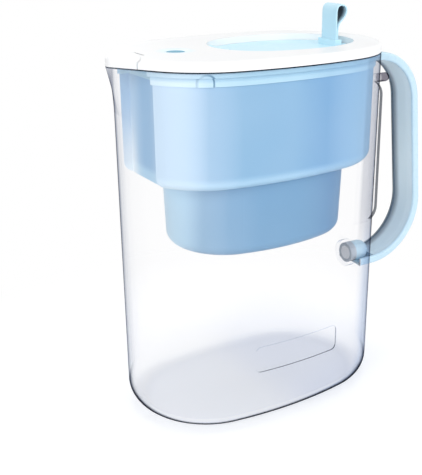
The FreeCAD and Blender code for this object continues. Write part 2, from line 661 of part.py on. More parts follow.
def cover_side(gap):
    """Everything on the spout side of the curved seam, which leans under the cover through the top plate."""
    centre = Vector(-SEAM_FORWARD - SEAM_RADIUS, 0, 0)
    high = SEAM_RADIUS + gap
    low = high - LID_PLATE
    lean = Part.makeCone(low, high, LID_PLATE, centre + UP * PLATE_UNDER, UP)
    return lean.fuse(Part.makeCylinder(low, LID_HEIGHT, centre + UP * (PLATE_UNDER - LID_HEIGHT), UP))


def lid_shell():
    """White top of the lid with the recess wall, the flap's seat and the cover's hinge lugs."""
    shell = lid_block().cut(lid_outline(LID_SIDE, RIM_HEIGHT, PLATE_UNDER))
    collar = oval_prism(recess(-RECESS_WALL), SEAT_UNDER, LID_TOP - LID_PLATE / 2)
    seat = oval_prism(recess(SEAT_WIDTH), SEAT_UNDER, FLAP_UNDER)
    keep = block(-RIM_LENGTH, HINGE_X + BARREL_RADIUS + SEAT_WIDTH, RIM_WIDTH, SEAT_UNDER, FLAP_UNDER)
    open_end = oval_prism(recess(0.0), SEAT_UNDER, FLAP_UNDER).common(keep)
    mouth = oval_prism(recess(0.0), FLAP_UNDER, LID_TOP)
    shell = shell.fuse(collar).cut(mouth.fuse([seat, open_end]))
    pin_length = 2 * (hinge_half_width(HINGE_INSET) + PIN_SEAT)
    shell = shell.cut(rod(HINGE_X, HINGE_Z, FLAP_PIN_RADIUS, pin_length))
    lugs = []
    for side in (-1, 1):
        y0 = side * (COVER_BARREL_LENGTH / 2 + COVER_BARREL_GAP + COVER_LUG_WIDTH / 2) - COVER_LUG_WIDTH / 2
        lug = Part.makeCylinder(COVER_BARREL_RADIUS, COVER_LUG_WIDTH, Vector(COVER_X, y0, COVER_Z), ACROSS)
        lugs.append(lug.common(block(-RIM_LENGTH, 0, RIM_WIDTH, RIM_HEIGHT, LID_TOP - LID_PLATE / 2)))
    shell = shell.fuse(lugs).cut(cover_side(SEAM_GAP))
    gap_length = COVER_BARREL_LENGTH + 2 * COVER_BARREL_GAP
    shell = shell.cut(rod(COVER_X, COVER_Z, COVER_BARREL_RADIUS + COVER_BARREL_GAP, gap_length))
    front = block(-RIM_LENGTH, COVER_X, gap_length / 2, RIM_HEIGHT, LID_TOP)
    shell = shell.cut(front)
    shell = shell.cut(rod(COVER_X, COVER_Z, COVER_PIN_RADIUS, COVER_BARREL_LENGTH + 2 * COVER_PIN_SEAT))
    dimple = Part.makeCone(BUTTON_RADIUS + BUTTON_GAP, BUTTON_RADIUS + BUTTON_GAP + DIMPLE_WIDTH, LID_PLATE / 3,
                           Vector(-POD_FORWARD, 0, LID_TOP - LID_PLATE / 3), UP)
    hole = post(-POD_FORWARD, BUTTON_RADIUS + BUTTON_GAP, PLATE_UNDER, LID_TOP)
    return shell.cut(hole.fuse(dimple)).removeSplitter()


def pod_post(side, low_z, high_z, radius):
    """One of the two screw posts at the sides of the pod."""
    return post(-POD_FORWARD, radius, low_z, high_z, side * SCREW_OFFSET)


def lid_base():
    """White underside of the lid: a plate with the skirt and the pod for the indicator."""
    plate_top = RIM_HEIGHT + LID_BASE_PLATE
    plate = oval_prism(inset(jug_outline(RIM_HEIGHT), LID_SIDE + LID_BASE_GAP), RIM_HEIGHT, plate_top)
    front = CHANNEL_X + HOPPER_WALL + SKIRT_GAP
    ahead = block(-RIM_LENGTH, front, RIM_WIDTH, RIM_HEIGHT - SKIRT_DEPTH - 1, LID_TOP)
    outer = inset(jug_outline(RIM_HEIGHT - SKIRT_DEPTH), JUG_WALL + HOPPER_GAP + HOPPER_WALL + SKIRT_GAP)
    skirt = oval_prism(outer, RIM_HEIGHT - SKIRT_DEPTH, RIM_HEIGHT)
    skirt = skirt.cut(oval_prism(inset(outer, SKIRT_THICKNESS), RIM_HEIGHT - SKIRT_DEPTH, RIM_HEIGHT))
    pod = post(-POD_FORWARD, POD_RADIUS, DOOR_UNDER, plate_top)
    solid = plate.fuse(skirt).cut(ahead).fuse(pod)
    solid = solid.cut(oval_prism(recess(-RECESS_WALL - LID_BASE_GAP), RIM_HEIGHT, plate_top))
    solid = solid.cut(post(-POD_FORWARD, POD_RADIUS - POD_WALL, DOOR_UNDER, plate_top))
    bosses = []
    holes = []
    for side in (-1, 1):
        boss = pod_post(side, DOOR_TOP + DOOR_GAP, BOARD_UNDER, SCREW_RADIUS + SCREW_POST_WALL)
        bosses.append(boss.cut(post(-POD_FORWARD, CELL_RADIUS + CELL_CLEARANCE, DOOR_TOP, BOARD_UNDER)))
        holes.append(pod_post(side, DOOR_TOP, DOOR_UNDER + SCREW_HEAD + SCREW_LENGTH, SCREW_RADIUS))
    return solid.fuse(bosses).cut(Part.makeCompound(holes)).removeSplitter()


def flap_pin():
    """Hinge pin of the refill flap, held in the walls of the recess."""
    return rod(HINGE_X, HINGE_Z, FLAP_PIN_RADIUS, 2 * (hinge_half_width(HINGE_INSET) + PIN_SEAT))


def spout_pin():
    """Hinge pin of the spout cover, held in two lugs of the lid."""
    return rod(COVER_X, COVER_Z, COVER_PIN_RADIUS, COVER_BARREL_LENGTH + 2 * COVER_PIN_SEAT)


def strap_block(grow, low_z, high_z):
    """Upright block around the two layers of the strap's stem, made larger by a margin."""
    half_depth = STRAP_THICKNESS + grow
    return block(STRAP_X - half_depth, STRAP_X + half_depth, STRAP_WIDTH / 2 + grow, low_z, high_z)


def refill_flap():
    """Shallow dished flap in the recess with its hinge barrel, the strap's pad and its slot."""
    plate = oval_prism(recess(FLAP_GAP), FLAP_UNDER, FLAP_TOP)
    dish = oval_solid(recess(FLAP_GAP + DISH_BORDER + DISH_SLOPE), FLAP_TOP - DISH_DEPTH,
                      recess(FLAP_GAP + DISH_BORDER), FLAP_TOP)
    barrel_length = 2 * (hinge_half_width(HINGE_INSET - BARREL_RADIUS) - BARREL_GAP)
    barrel = rod(HINGE_X, HINGE_Z, BARREL_RADIUS, barrel_length)
    web = block(HINGE_X - BARREL_RADIUS, HINGE_X + BARREL_RADIUS, barrel_length / 2, FLAP_UNDER, HINGE_Z)
    pad_top = FLAP_TOP + STRAP_PAD_HEIGHT
    pad = strap_block(STRAP_FIT + STRAP_PAD_BORDER, FLAP_UNDER, pad_top)
    solid = plate.cut(dish).fuse([barrel, web, pad])
    solid = solid.cut(rod(HINGE_X, HINGE_Z, FLAP_PIN_RADIUS + PIN_CLEARANCE, RECESS_WIDTH))
    return solid.cut(strap_block(STRAP_FIT, FLAP_UNDER, pad_top)).removeSplitter()


def pull_strap():
    """Soft loop standing on the flap, held by a foot under it."""
    top = FLAP_TOP + STRAP_HEIGHT - STRAP_LOOP_RADIUS
    pinch = FLAP_TOP + STRAP_STEM
    loop = Vector(STRAP_X + STRAP_LEAN, -top, 0)
    neck = Vector(STRAP_X, -pinch, 0)
    outer = Part.Face(pear_wire(loop, STRAP_LOOP_RADIUS, neck, STRAP_THICKNESS))
    hole = Part.Face(pear_wire(loop, STRAP_LOOP_RADIUS - STRAP_THICKNESS, neck, STRAP_THICKNESS / 4))
    ring = outer.cut(hole).extrude(UP * STRAP_WIDTH)
    ring.rotate(Vector(0, 0, 0), ALONG, -90)
    ring.translate(ACROSS * (-STRAP_WIDTH / 2))
    foot_under = FLAP_UNDER - STRAP_FOOT_THICKNESS
    stem = strap_block(0.0, foot_under, pinch)
    foot = strap_block(STRAP_FOOT, foot_under, FLAP_UNDER)
    return ring.fuse([stem, foot]).removeSplitter()


def spout_cover():
    """Front end of the lid over the pouring lip, swinging up about its rear edge."""
    shell = lid_block().cut(lid_outline(LID_SIDE, RIM_HEIGHT, PLATE_UNDER)).common(cover_side(0.0))
    arm = block(-SEAM_FORWARD - 2 * LID_PLATE, COVER_X, COVER_BARREL_LENGTH / 2, PLATE_UNDER, LID_TOP)
    barrel = rod(COVER_X, COVER_Z, COVER_BARREL_RADIUS, COVER_BARREL_LENGTH)
    solid = shell.fuse([arm, barrel])
    return solid.cut(rod(COVER_X, COVER_Z, COVER_PIN_RADIUS + PIN_CLEARANCE, RIM_WIDTH)).removeSplitter()


def indicator_button():
    """Blue lens in the lid, kept in by its flange."""
    lens = post(-POD_FORWARD, BUTTON_RADIUS, STEM_UNDER, BUTTON_TOP)
    return lens.fuse(post(-POD_FORWARD, BUTTON_RADIUS + BUTTON_FLANGE, STEM_UNDER, FLANGE_TOP)).removeSplitter()


def switch_plunger():
    """Plunger of the switch, standing under the lens."""
    return post(-POD_FORWARD, PLUNGER_RADIUS, SWITCH_TOP - BUTTON_TRAVEL, STEM_UNDER)


def switch_housing():
    """Housing of the switch on the board."""
    half = SWITCH_SIDE / 2
    housing = block(-POD_FORWARD - half, -POD_FORWARD + half, half, BOARD_TOP, SWITCH_TOP)
    well = post(-POD_FORWARD, PLUNGER_RADIUS + PLUNGER_CLEARANCE, SWITCH_TOP - 2 * BUTTON_TRAVEL, SWITCH_TOP)
    return housing.cut(well)


def circuit_board():
    """Round board on the screw posts of the pod."""
    return post(-POD_FORWARD, BOARD_RADIUS, BOARD_UNDER, BOARD_TOP)


def indicator_lamp():
    """Lamp on the board beside the switch."""
    x = LAMP_OFFSET - POD_FORWARD
    return block(x - LAMP_SIDE / 2, x + LAMP_SIDE / 2, LAMP_SIDE / 2, BOARD_TOP, BOARD_TOP + LAMP_HEIGHT)


def coin_cell():
    """Battery under the board, with a narrower lower face."""
    step = CELL_THICKNESS / 4
    wide = post(-POD_FORWARD, CELL_RADIUS, CELL_UNDER + step, CELL_TOP)
    return wide.fuse(post(-POD_FORWARD, CELL_RADIUS - step, CELL_UNDER, CELL_UNDER + step)).removeSplitter()


def battery_contacts():
    """Two flat springs between the board and the battery."""
    strips = []
    for side in (-1, 1):
        x = side * CELL_RADIUS / 2 - POD_FORWARD
        strips.append(block(x - CONTACT_WIDTH / 2, x + CONTACT_WIDTH / 2, CONTACT_WIDTH,
                            BOARD_UNDER - CONTACT_THICKNESS, BOARD_UNDER))
    return Part.makeCompound(strips)


def battery_door():
    """Round door that closes the pod from below."""
    door = post(-POD_FORWARD, POD_RADIUS - POD_WALL - DOOR_GAP, DOOR_UNDER, DOOR_TOP)
    for side in (-1, 1):
        door = door.cut(pod_post(side, DOOR_UNDER + SCREW_HEAD, DOOR_TOP, SCREW_RADIUS + DOOR_GAP))
        door = door.cut(pod_post(side, DOOR_UNDER, DOOR_UNDER + SCREW_HEAD, SCREW_HEAD_RADIUS + DOOR_GAP))
    return door


def battery_screws():
    """Two screws through the door into the posts of the pod."""
    screws = []
    for side in (-1, 1):
        head = pod_post(side, DOOR_UNDER, DOOR_UNDER + SCREW_HEAD, SCREW_HEAD_RADIUS)
        shank = pod_post(side, DOOR_UNDER + SCREW_HEAD, DOOR_UNDER + SCREW_HEAD + SCREW_LENGTH, SCREW_RADIUS)
        screws.append(head.fuse(shank).removeSplitter())
    return Part.makeCompound(screws)


PIECES = (
    pitcher_body, handle_shell, handle_liner,
    hopper,
    filter_casing, filter_cap, filter_seal, filter_media, filter_top_pad, filter_bottom_pad,
    lid_shell, lid_base, flap_pin, spout_pin,
    circuit_board, indicator_lamp, switch_housing, coin_cell, battery_contacts, battery_door, battery_screws,
    refill_flap, pull_strap,
    spout_cover,
    indicator_button, switch_plunger,
)

os.makedirs("parts", exist_ok=True)
for piece in PIECES:
    piece().exportStep("parts/" + piece.__name__ + ".step")
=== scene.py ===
"""Water filter pitcher: finishes, soft pull loop and studio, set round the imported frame."""

import logging
import math
from dataclasses import dataclass
from enum import Enum, auto
from typing import Any, Protocol, Sequence

import bpy
import numpy as np
from mathutils import Matrix, Vector


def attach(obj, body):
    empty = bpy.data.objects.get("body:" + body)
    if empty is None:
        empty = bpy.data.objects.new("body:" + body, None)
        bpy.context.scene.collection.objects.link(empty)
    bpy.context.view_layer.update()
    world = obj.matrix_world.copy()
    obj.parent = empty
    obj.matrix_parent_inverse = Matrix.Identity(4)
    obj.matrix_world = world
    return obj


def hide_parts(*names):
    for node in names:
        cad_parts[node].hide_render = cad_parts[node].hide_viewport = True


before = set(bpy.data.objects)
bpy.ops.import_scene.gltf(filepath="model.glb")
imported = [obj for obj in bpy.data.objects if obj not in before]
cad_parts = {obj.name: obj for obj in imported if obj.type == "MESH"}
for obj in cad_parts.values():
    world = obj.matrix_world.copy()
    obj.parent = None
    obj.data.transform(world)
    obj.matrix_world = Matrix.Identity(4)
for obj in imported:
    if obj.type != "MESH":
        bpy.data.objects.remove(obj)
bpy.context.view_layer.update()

LOG = logging.getLogger("pitcher")
MM = 0.001
WHITE = (1.0, 1.0, 1.0)
# Where most of a noise lies
NOISE_RANGE = (0.3, 0.7)
# Vector operations that give a number
MEASURES = ("LENGTH", "DISTANCE", "DOT_PRODUCT")
# Past every side of the pitcher, and below its base, in metres
FAR = 0.2
UNDER = -0.01
# Middle of the lens along X, in millimetres
LENS_X = -57.5

Colour = tuple[float, float, float]
Point = tuple[float, float, float]
Range = tuple[float, float]
Stops = Sequence[tuple[float, Colour]]
Socket = bpy.types.NodeSocket
Value = Socket | float
Paint = Socket | Colour


class Body(Enum):
    """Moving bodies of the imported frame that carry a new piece."""

    FLAP = "flap"
    BUTTON = "button"


class Cap(Enum):
    """How an open end of a grid surface is closed."""

    NONE = auto()
    FAN = auto()


class Faces(Enum):
    """Which faces of a clear region take its tint."""

    ALL = auto()
    RIMS = auto()
    EDGE_ON = auto()


class Blend(Enum):
    """How a colour is laid over another one."""

    MIX = "MIX"
    MULTIPLY = "MULTIPLY"
    SCREEN = "SCREEN"


# Node graphs


class Shader:
    """Node graph of one finish, with short calls that add and join nodes."""

    def __init__(self, owner: bpy.types.Material | bpy.types.World, output: str = "OutputMaterial") -> None:
        """Start an empty graph.

        Args:
            owner: Material or world that the graph belongs to.
            output: Blender's name of its output node without the prefix.
        """
        owner.use_nodes = True
        self.owner = owner
        self.tree = owner.node_tree
        self.tree.nodes.clear()
        self.output = self.add(output)
        self.coords = self.add("TexCoord")

    @classmethod
    def named(cls, name: str) -> "Shader":
        """Start the graph of a new material."""
        return cls(bpy.data.materials.new(name))

    def add(self, kind: str, sockets: dict[Any, Any] | None = None, **settings: Any) -> bpy.types.Node:
        """Add a node.

        Args:
            kind: Blender's name of the node without its prefix.
            sockets: Values or output sockets, by input name or number.
            settings: Properties of the node itself.

        Returns:
            The new node.
        """
        node = self.tree.nodes.new("ShaderNode" + kind)
        for label, value in settings.items():
            setattr(node, label, value)
        for label, value in (sockets or {}).items():
            if isinstance(value, Socket):
                self.tree.links.new(value, node.inputs[label])
            else:
                node.inputs[label].default_value = value
        return node

    def math(self, operation: str, first: Value, second: Value = 0.0) -> Socket:
        """Return what an operation makes of one or two numbers."""
        return self.add("Math", {0: first, 1: second}, operation=operation).outputs[0]

    def vector(self, operation: str, first: Socket, second: Socket | Point = (0.0, 0.0, 0.0)) -> Socket:
        """Return what an operation makes of one or two vectors: a number for a measure, else a vector."""
        node = self.add("VectorMath", {0: first, 1: second}, operation=operation)
        return node.outputs["Value" if operation in MEASURES else "Vector"]

    def place(self) -> Socket:
        """Return the socket of Object coordinates, in metres."""
        return self.coords.outputs["Object"]

    def direction(self) -> Socket:
        """Return the surface's own direction in the piece's space, turned to the side that is seen."""
        return self.coords.outputs["Normal"]

    def outward(self) -> Socket:
        """Return the surface's direction out of the solid, also where a ray meets it from inside.

        Returns:
            Socket of the direction.
        """
        behind = self.add("NewGeometry").outputs["Backfacing"]
        side = self.add("MapRange", {0: behind, 3: 1.0, 4: -1.0}).outputs[0]
        return self.add("VectorMath", {0: self.direction(), "Scale": side}, operation="SCALE").outputs[0]

    def axis(self, letter: str) -> Socket:
        """Return one Object coordinate, named by its letter."""
        return self.add("SeparateXYZ", {0: self.place()}).outputs[letter]

    def beside(self, letter: str) -> Socket:
        """Return the distance from the plane where one Object coordinate is 0."""
        return self.math("ABSOLUTE", self.axis(letter))

    def lean(self, letter: str) -> Socket:
        """Return the size of one part of the surface's own direction."""
        return self.math("ABSOLUTE", self.add("SeparateXYZ", {0: self.direction()}).outputs[letter])

    def turn(self, arm: Socket, direction: Socket) -> Socket:
        """Return the cosine of the angle between an arm and a direction of unit length."""
        return self.vector("DOT_PRODUCT", self.vector("NORMALIZE", arm), direction)

    def product(self, *shares: Socket) -> Socket:
        """Return the product of several shares.

        Args:
            shares: Sockets to multiply.

        Returns:
            Socket of the product.
        """
        total = shares[0]
        for share in shares[1:]:
            total = self.math("MULTIPLY", total, share)
        return total

    def spread(self, value: Socket, low: float, high: float,
               to_low: float = 0.0, to_high: float = 1.0) -> Socket:
        """Carry a value smoothly from one range into another, held at both ends.

        Args:
            value: Socket to carry over.
            low: Start of the first range.
            high: End of the first range.
            to_low: Start of the second range.
            to_high: End of the second range.

        Returns:
            Socket of the new value.
        """
        ends = {0: value, 1: low, 2: high, 3: to_low, 4: to_high}
        return self.add("MapRange", ends, interpolation_type="SMOOTHSTEP").outputs[0]

    def within(self, letter: str, low: float, high: float, soft: float) -> Socket:
        """Return a share that is 1 between two places along an axis and fades outside them."""
        value = self.axis(letter)
        return self.product(self.spread(value, low - soft, low), self.spread(value, high + soft, high))

    def ramp(self, value: Socket, stops: Stops) -> Socket:
        """Turn a value into a colour through a ramp.

        Args:
            value: Socket that runs from 0 to 1.
            stops: Positions and colours.

        Returns:
            Socket of the colour.
        """
        node = self.add("ValToRGB", {0: value})
        elements = node.color_ramp.elements
        while len(elements) < len(stops):
            elements.new(1.0)
        for element, (position, colour) in zip(elements, stops):
            element.position = position
            element.color = (*colour, 1.0)
        return node.outputs["Color"]

    def noise(self, size: float, detail: float = 3.0) -> Socket:
        """Return smooth noise whose lumps have about the given size in metres."""
        lumps = {"Vector": self.place(), "Scale": 1.0 / size, "Detail": detail}
        return self.add("TexNoise", lumps).outputs["Fac"]

    def uneven(self, value: float, parts: Range, noise: Socket) -> Socket:
        """Return a value that wanders between two parts of itself with a noise."""
        return self.spread(noise, *NOISE_RANGE, value * parts[0], value * parts[1])

    def bump(self, height: Socket, depth: float, strength: float = 1.0) -> Socket:
        """Return a normal that is pushed about by a height of the given depth in metres."""
        return self.add("Bump", {"Strength": strength, "Distance": depth, "Height": height}).outputs["Normal"]

    def blend(self, share: Value, first: Paint, second: Paint, how: Blend = Blend.MIX) -> Socket:
        """Lay one colour over another.

        Args:
            share: How much of the second colour shows.
            first: Colour or socket underneath.
            second: Colour or socket on top.
            how: What the second does to the first.

        Returns:
            Socket of the colour.
        """
        under, over = (paint if isinstance(paint, Socket) else (*paint, 1.0) for paint in (first, second))
        node = self.add("Mix", {0: share, 6: under, 7: over}, data_type="RGBA", blend_type=how.value)
        return node.outputs[2]

    def mixed(self, share: Socket, first: bpy.types.Node, second: bpy.types.Node) -> bpy.types.Node:
        """Return a shader that passes from one shader to another."""
        return self.add("MixShader", {0: share, 1: first.outputs[0], 2: second.outputs[0]})

    def let_lamps_through(self, surface: bpy.types.Node, share: float, tint: Colour) -> bpy.types.Node:
        """Let part of the lamps' light pass a see-through plastic.

        Args:
            surface: Shader of the plastic.
            share: Part of the light that passes.
            tint: Colour that the plastic gives it.

        Returns:
            The shader that does both.
        """
        lit = self.math("MULTIPLY", self.add("LightPath").outputs["Is Shadow Ray"], share)
        return self.mixed(lit, surface, self.add("BsdfTransparent", {"Color": (*tint, 1.0)}))

    def finish(self, surface: bpy.types.Node) -> bpy.types.Material | bpy.types.World:
        """Join the last shader to the output and return the material or world."""
        self.tree.links.new(surface.outputs[0], self.output.inputs["Surface"])
        return self.owner


# Finishes


class Finish(Protocol):
    """What every finish can do."""

    def material(self) -> bpy.types.Material:
        """Return the finish as a new material."""


@dataclass(frozen=True)
class Patch:
    """A region of a clear piece that lets less light through: a box, and which faces in it."""

    low: Point
    high: Point
    tint: Colour
    soft: float = 0.0005
    faces: Faces = Faces.ALL
    turn: Range = (0.5, 0.75)
    rim_lean: Range = (0.8, 0.5)
    wall_lean: Range = (0.995, 0.97)

    def share(self, shader: Shader, facing: Socket, outer: Socket) -> Socket:
        """Return how much of the tint a place takes.

        Args:
            shader: Graph that the nodes go into.
            facing: Socket that is 0 where the surface is seen face on and 1 where it is seen edge on.
            outer: Socket that is 1 on the outside of the piece and 0 on its inside.

        Returns:
            Socket of the share, 0 to 1.
        """
        spans = [shader.within(letter, low, high, self.soft)
                 for letter, low, high in zip("XYZ", self.low, self.high)]
        if self.faces is Faces.RIMS:
            spans.append(shader.spread(shader.lean("Y"), *self.rim_lean))
        if self.faces is Faces.EDGE_ON:
            walls = shader.spread(shader.lean("Z"), *self.wall_lean)
            spans += [outer, shader.spread(facing, *self.turn), walls]
        return shader.product(*spans)


def edge_band(x: Range, z: Range, tint: Colour, soft: float, turn: Range) -> Patch:
    """Return a patch right across a piece that darkens its outside where it is seen edge on: a painted dark
    edge.

    Args:
        x: Start and end along X.
        z: Start and end along Z.
        tint: Colour of the light that passes.
        soft: Width over which it fades.
        turn: Facing at which it starts and at which it is full.

    Returns:
        The patch.
    """
    return Patch((x[0], -FAR, z[0]), (x[1], FAR, z[1]), tint, soft, Faces.EDGE_ON, turn)


@dataclass(frozen=True)
class ClearPlastic:
    """Clear moulded plastic: see-through face on, tinted and glossy where it is seen edge on, with painted
    shade and painted dark edges in its patches and along its rim.
    """

    name: str
    edge: Stops
    inner_edge: Stops
    half_run: float
    veil: Sequence[Range]
    gloss: Colour
    rim_z: float
    rim_shade: Colour
    patches: Sequence[Patch]
    rim_shade_band: Range = (0.0012, 0.0004)
    inner_turn: Range = (0.1, -0.1)
    roughness: float = 0.05
    rough_parts: Range = (0.6, 1.6)
    rough_size: float = 0.02
    wave_size: float = 0.03
    wave_depth: float = 0.0002
    wave_strength: float = 0.2
    ior: float = 1.46

    def inner(self, shader: Shader) -> Socket:
        """Tell the inside of the wall from its outside.

        A face is inside where it looks at the line between the two end centres of the oval.

        Args:
            shader: Graph that the nodes go into.

        Returns:
            Socket that is 1 on the inside and 0 on the outside.
        """
        along = shader.spread(shader.axis("X"), -self.half_run, self.half_run, -self.half_run, self.half_run)
        line = shader.add("CombineXYZ", {0: along, 2: shader.axis("Z")}).outputs[0]
        arm = shader.vector("SUBTRACT", shader.place(), line)
        return shader.spread(shader.turn(arm, shader.outward()), *self.inner_turn)

    def tint(self, shader: Shader, facing: Socket) -> Socket:
        """Colour the light that passes: by facing, in the patches, and with painted shade along the rim under
        the lid.

        Args:
            shader: Graph that the nodes go into.
            facing: Socket that is 0 where the surface is seen face on and 1 where it is seen edge on.

        Returns:
            Socket of the colour.
        """
        inner = self.inner(shader)
        outer = shader.spread(inner, 1.0, 0.0)
        colour = shader.blend(inner, shader.ramp(facing, self.edge), shader.ramp(facing, self.inner_edge))
        for patch in self.patches:
            colour = shader.blend(patch.share(shader, facing, outer), colour, patch.tint, Blend.MULTIPLY)
        # Painted shade along the rim, where the lid sits on it
        start, full = (self.rim_z - below for below in self.rim_shade_band)
        return shader.blend(shader.spread(shader.axis("Z"), start, full), colour, self.rim_shade)

    def material(self) -> bpy.types.Material:
        """Make a tinted see-through layer under a gloss that grows towards the edges.

        Returns:
            The material.
        """
        shader = Shader.named(self.name)
        facing = shader.add("LayerWeight").outputs["Facing"]
        clear = shader.add("BsdfTransparent", {"Color": self.tint(shader, facing)})
        waves = shader.noise(self.wave_size, detail=1.0)
        skin = shader.add("BsdfPrincipled", {
            "Base Color": (*self.gloss, 1.0), "IOR": self.ior,
            "Roughness": shader.uneven(self.roughness, self.rough_parts, shader.noise(self.rough_size)),
            "Normal": shader.bump(waves, self.wave_depth, self.wave_strength)})
        share = shader.ramp(facing, tuple((at, (value,) * 3) for at, value in self.veil))
        return shader.finish(shader.mixed(share, clear, skin))


@dataclass(frozen=True)
class Layer:
    """A tone laid over a range along one axis, below a height, that may fade towards the rear."""

    axis: str
    start: float
    full: float
    tone: Colour
    how: Blend = Blend.MULTIPLY
    below_z: float = 1.0
    fade: float = 0.0
    fade_x: float = 0.08
    soft: float = 0.0005

    def over(self, shader: Shader, colour: Socket) -> Socket:
        """Lay the tone over a colour.

        Args:
            shader: Graph that the nodes go into.
            colour: Colour underneath.

        Returns:
            Socket of the new colour.
        """
        under = shader.spread(shader.axis("Z"), self.below_z + self.soft, self.below_z - self.soft)
        rear = shader.spread(shader.axis("X"), 0.0, self.fade_x, 1.0, 1.0 - self.fade)
        span = shader.spread(shader.axis(self.axis), self.start, self.full)
        return shader.blend(shader.product(under, rear, span), colour, self.tone, self.how)


@dataclass(frozen=True)
class Throat:
    """Pouring channel at the spout end: painted shade inside it, and a pale tone low down on its far side."""

    x: float
    half: float
    tone: Colour
    far_pale: Colour
    far_pale_z: Range
    far_pale_y: Range = (0.45, 1.05)
    full_y: float = 0.1
    soft: float = 0.003

    def over(self, shader: Shader, colour: Socket) -> Socket:
        """Lay the painted shade and the pale tone over a colour; places along Y are parts of the channel's
        half width.

        Args:
            shader: Graph that the nodes go into.
            colour: Colour underneath.

        Returns:
            Socket of the new colour.
        """
        front = shader.spread(shader.axis("X"), self.x + self.soft, self.x)
        inside = shader.spread(shader.beside("Y"), self.half, self.half * self.full_y)
        colour = shader.blend(shader.product(inside, front), colour, self.tone, Blend.MULTIPLY)
        far = shader.spread(shader.axis("Y"), *(self.half * part for part in self.far_pale_y))
        low = shader.spread(shader.axis("Z"), *self.far_pale_z)
        return shader.blend(shader.product(far, low, front), colour, self.far_pale)


@dataclass(frozen=True)
class CatchLine:
    """Painted shade along the outline of a catch on the collar, weaker on the side of the spout."""

    x: float
    low_z: float
    middle_z: float
    radius: float
    tone: Colour
    width: Range = (0.0009, 0.0003)
    front: float = 0.25
    soft: float = 0.0004

    def over(self, shader: Shader, colour: Socket) -> Socket:
        """Lay the outline over a colour.

        The line keeps one distance from an upright line that ends at the catch's middle, so that its sides
        are straight and its top is half a circle.

        Args:
            shader: Graph that the nodes go into.
            colour: Colour underneath.

        Returns:
            Socket of the new colour.
        """
        above = shader.math("MAXIMUM", shader.math("SUBTRACT", shader.axis("Z"), self.middle_z), 0.0)
        along = shader.math("SUBTRACT", shader.axis("X"), self.x)
        reach = shader.vector("LENGTH", shader.add("CombineXYZ", {0: along, 2: above}).outputs[0])
        off = shader.math("ABSOLUTE", shader.math("SUBTRACT", reach, self.radius))
        share = shader.product(shader.spread(off, *self.width),
                               shader.spread(along, -self.radius, self.radius, self.front, 1.0),
                               shader.spread(shader.axis("Z"), self.low_z - self.soft, self.low_z))
        return shader.blend(share, colour, self.tone, Blend.MULTIPLY)


@dataclass(frozen=True)
class TintedPlastic:
    """Translucent coloured plastic whose colour deepens along the piece, partly its own blue and partly
    painted light from the left, with painted light and shade laid over it in layers.
    """

    name: str
    run: Stops
    low_z: float
    low_shift: float
    throat: Throat
    layers: Sequence[Layer]
    catch: CatchLine
    soft: float = 0.001
    cloud_size: float = 0.06
    cloud_share: float = 0.03
    grain: float = 0.01
    roughness: float = 0.34
    rough_parts: Range = (0.9, 1.1)
    ior: float = 1.45
    specular: float = 0.3
    passes: float = 0.45

    def colours(self, shader: Shader) -> Socket:
        """Work out the colour: a run along X, partly the blue and partly painted light from the left, that
        starts later low down, then the painted tones over it.

        Args:
            shader: Graph that the nodes go into.

        Returns:
            Socket of the colour.
        """
        start, end = self.run[0][0], self.run[-1][0]
        shift = shader.spread(shader.axis("Z"), self.low_z, self.low_z + self.soft, -self.low_shift, 0.0)
        along = shader.spread(shader.math("ADD", shader.axis("X"), shift), start, end)
        colour = shader.ramp(along, tuple(((x - start) / (end - start), tone) for x, tone in self.run))
        for tone in (self.throat, *self.layers, self.catch):
            colour = tone.over(shader, colour)
        return colour

    def material(self) -> bpy.types.Material:
        """Make the colour, faintly clouded, under a satin gloss that lets light from the lamps through.

        Returns:
            The material.
        """
        shader = Shader.named(self.name)
        colour = self.colours(shader)
        cloud = shader.spread(shader.noise(self.cloud_size, detail=1.0), *NOISE_RANGE)
        surface = shader.add("BsdfPrincipled", {
            "Base Color": shader.blend(cloud, colour, shader.blend(self.cloud_share, colour, WHITE)),
            "Roughness": shader.uneven(self.roughness, self.rough_parts, shader.noise(self.grain)),
            "IOR": self.ior, "Specular IOR Level": self.specular})
        return shader.finish(shader.let_lamps_through(surface, self.passes, self.run[0][1]))


@dataclass(frozen=True)
class MouldedPlastic:
    """Opaque moulded plastic with a fine grain, faint colour drift and an optional clear gloss."""

    name: str
    colour: Colour
    drift: Colour
    roughness: float
    grain: float
    grain_depth: float = 0.00002
    grain_strength: float = 0.4
    drift_size: float = 0.025
    rough_parts: Range = (0.85, 1.15)
    rough_grains: float = 4.0
    coat: float = 0.0
    coat_roughness: float = 0.06
    sheen: float = 0.0
    specular: float = 0.5
    ior: float = 1.47

    def colours(self, shader: Shader) -> Socket:
        """Return the colour with its faint drift."""
        share = shader.spread(shader.noise(self.drift_size), *NOISE_RANGE)
        return shader.blend(share, self.colour, self.drift)

    def relief(self, shader: Shader) -> Socket:
        """Return the direction of the surface with its fine grain."""
        return shader.bump(shader.noise(self.grain), self.grain_depth, self.grain_strength)

    def material(self) -> bpy.types.Material:
        """Make the plastic from its colours and its relief.

        Returns:
            The material.
        """
        shader = Shader.named(self.name)
        rough = shader.uneven(self.roughness, self.rough_parts, shader.noise(self.grain * self.rough_grains))
        return shader.finish(shader.add("BsdfPrincipled", {
            "Base Color": self.colours(shader), "Roughness": rough, "IOR": self.ior, "Coat Weight": self.coat,
            "Coat Roughness": self.coat_roughness, "Sheen Weight": self.sheen,
            "Specular IOR Level": self.specular, "Normal": self.relief(shader)}))


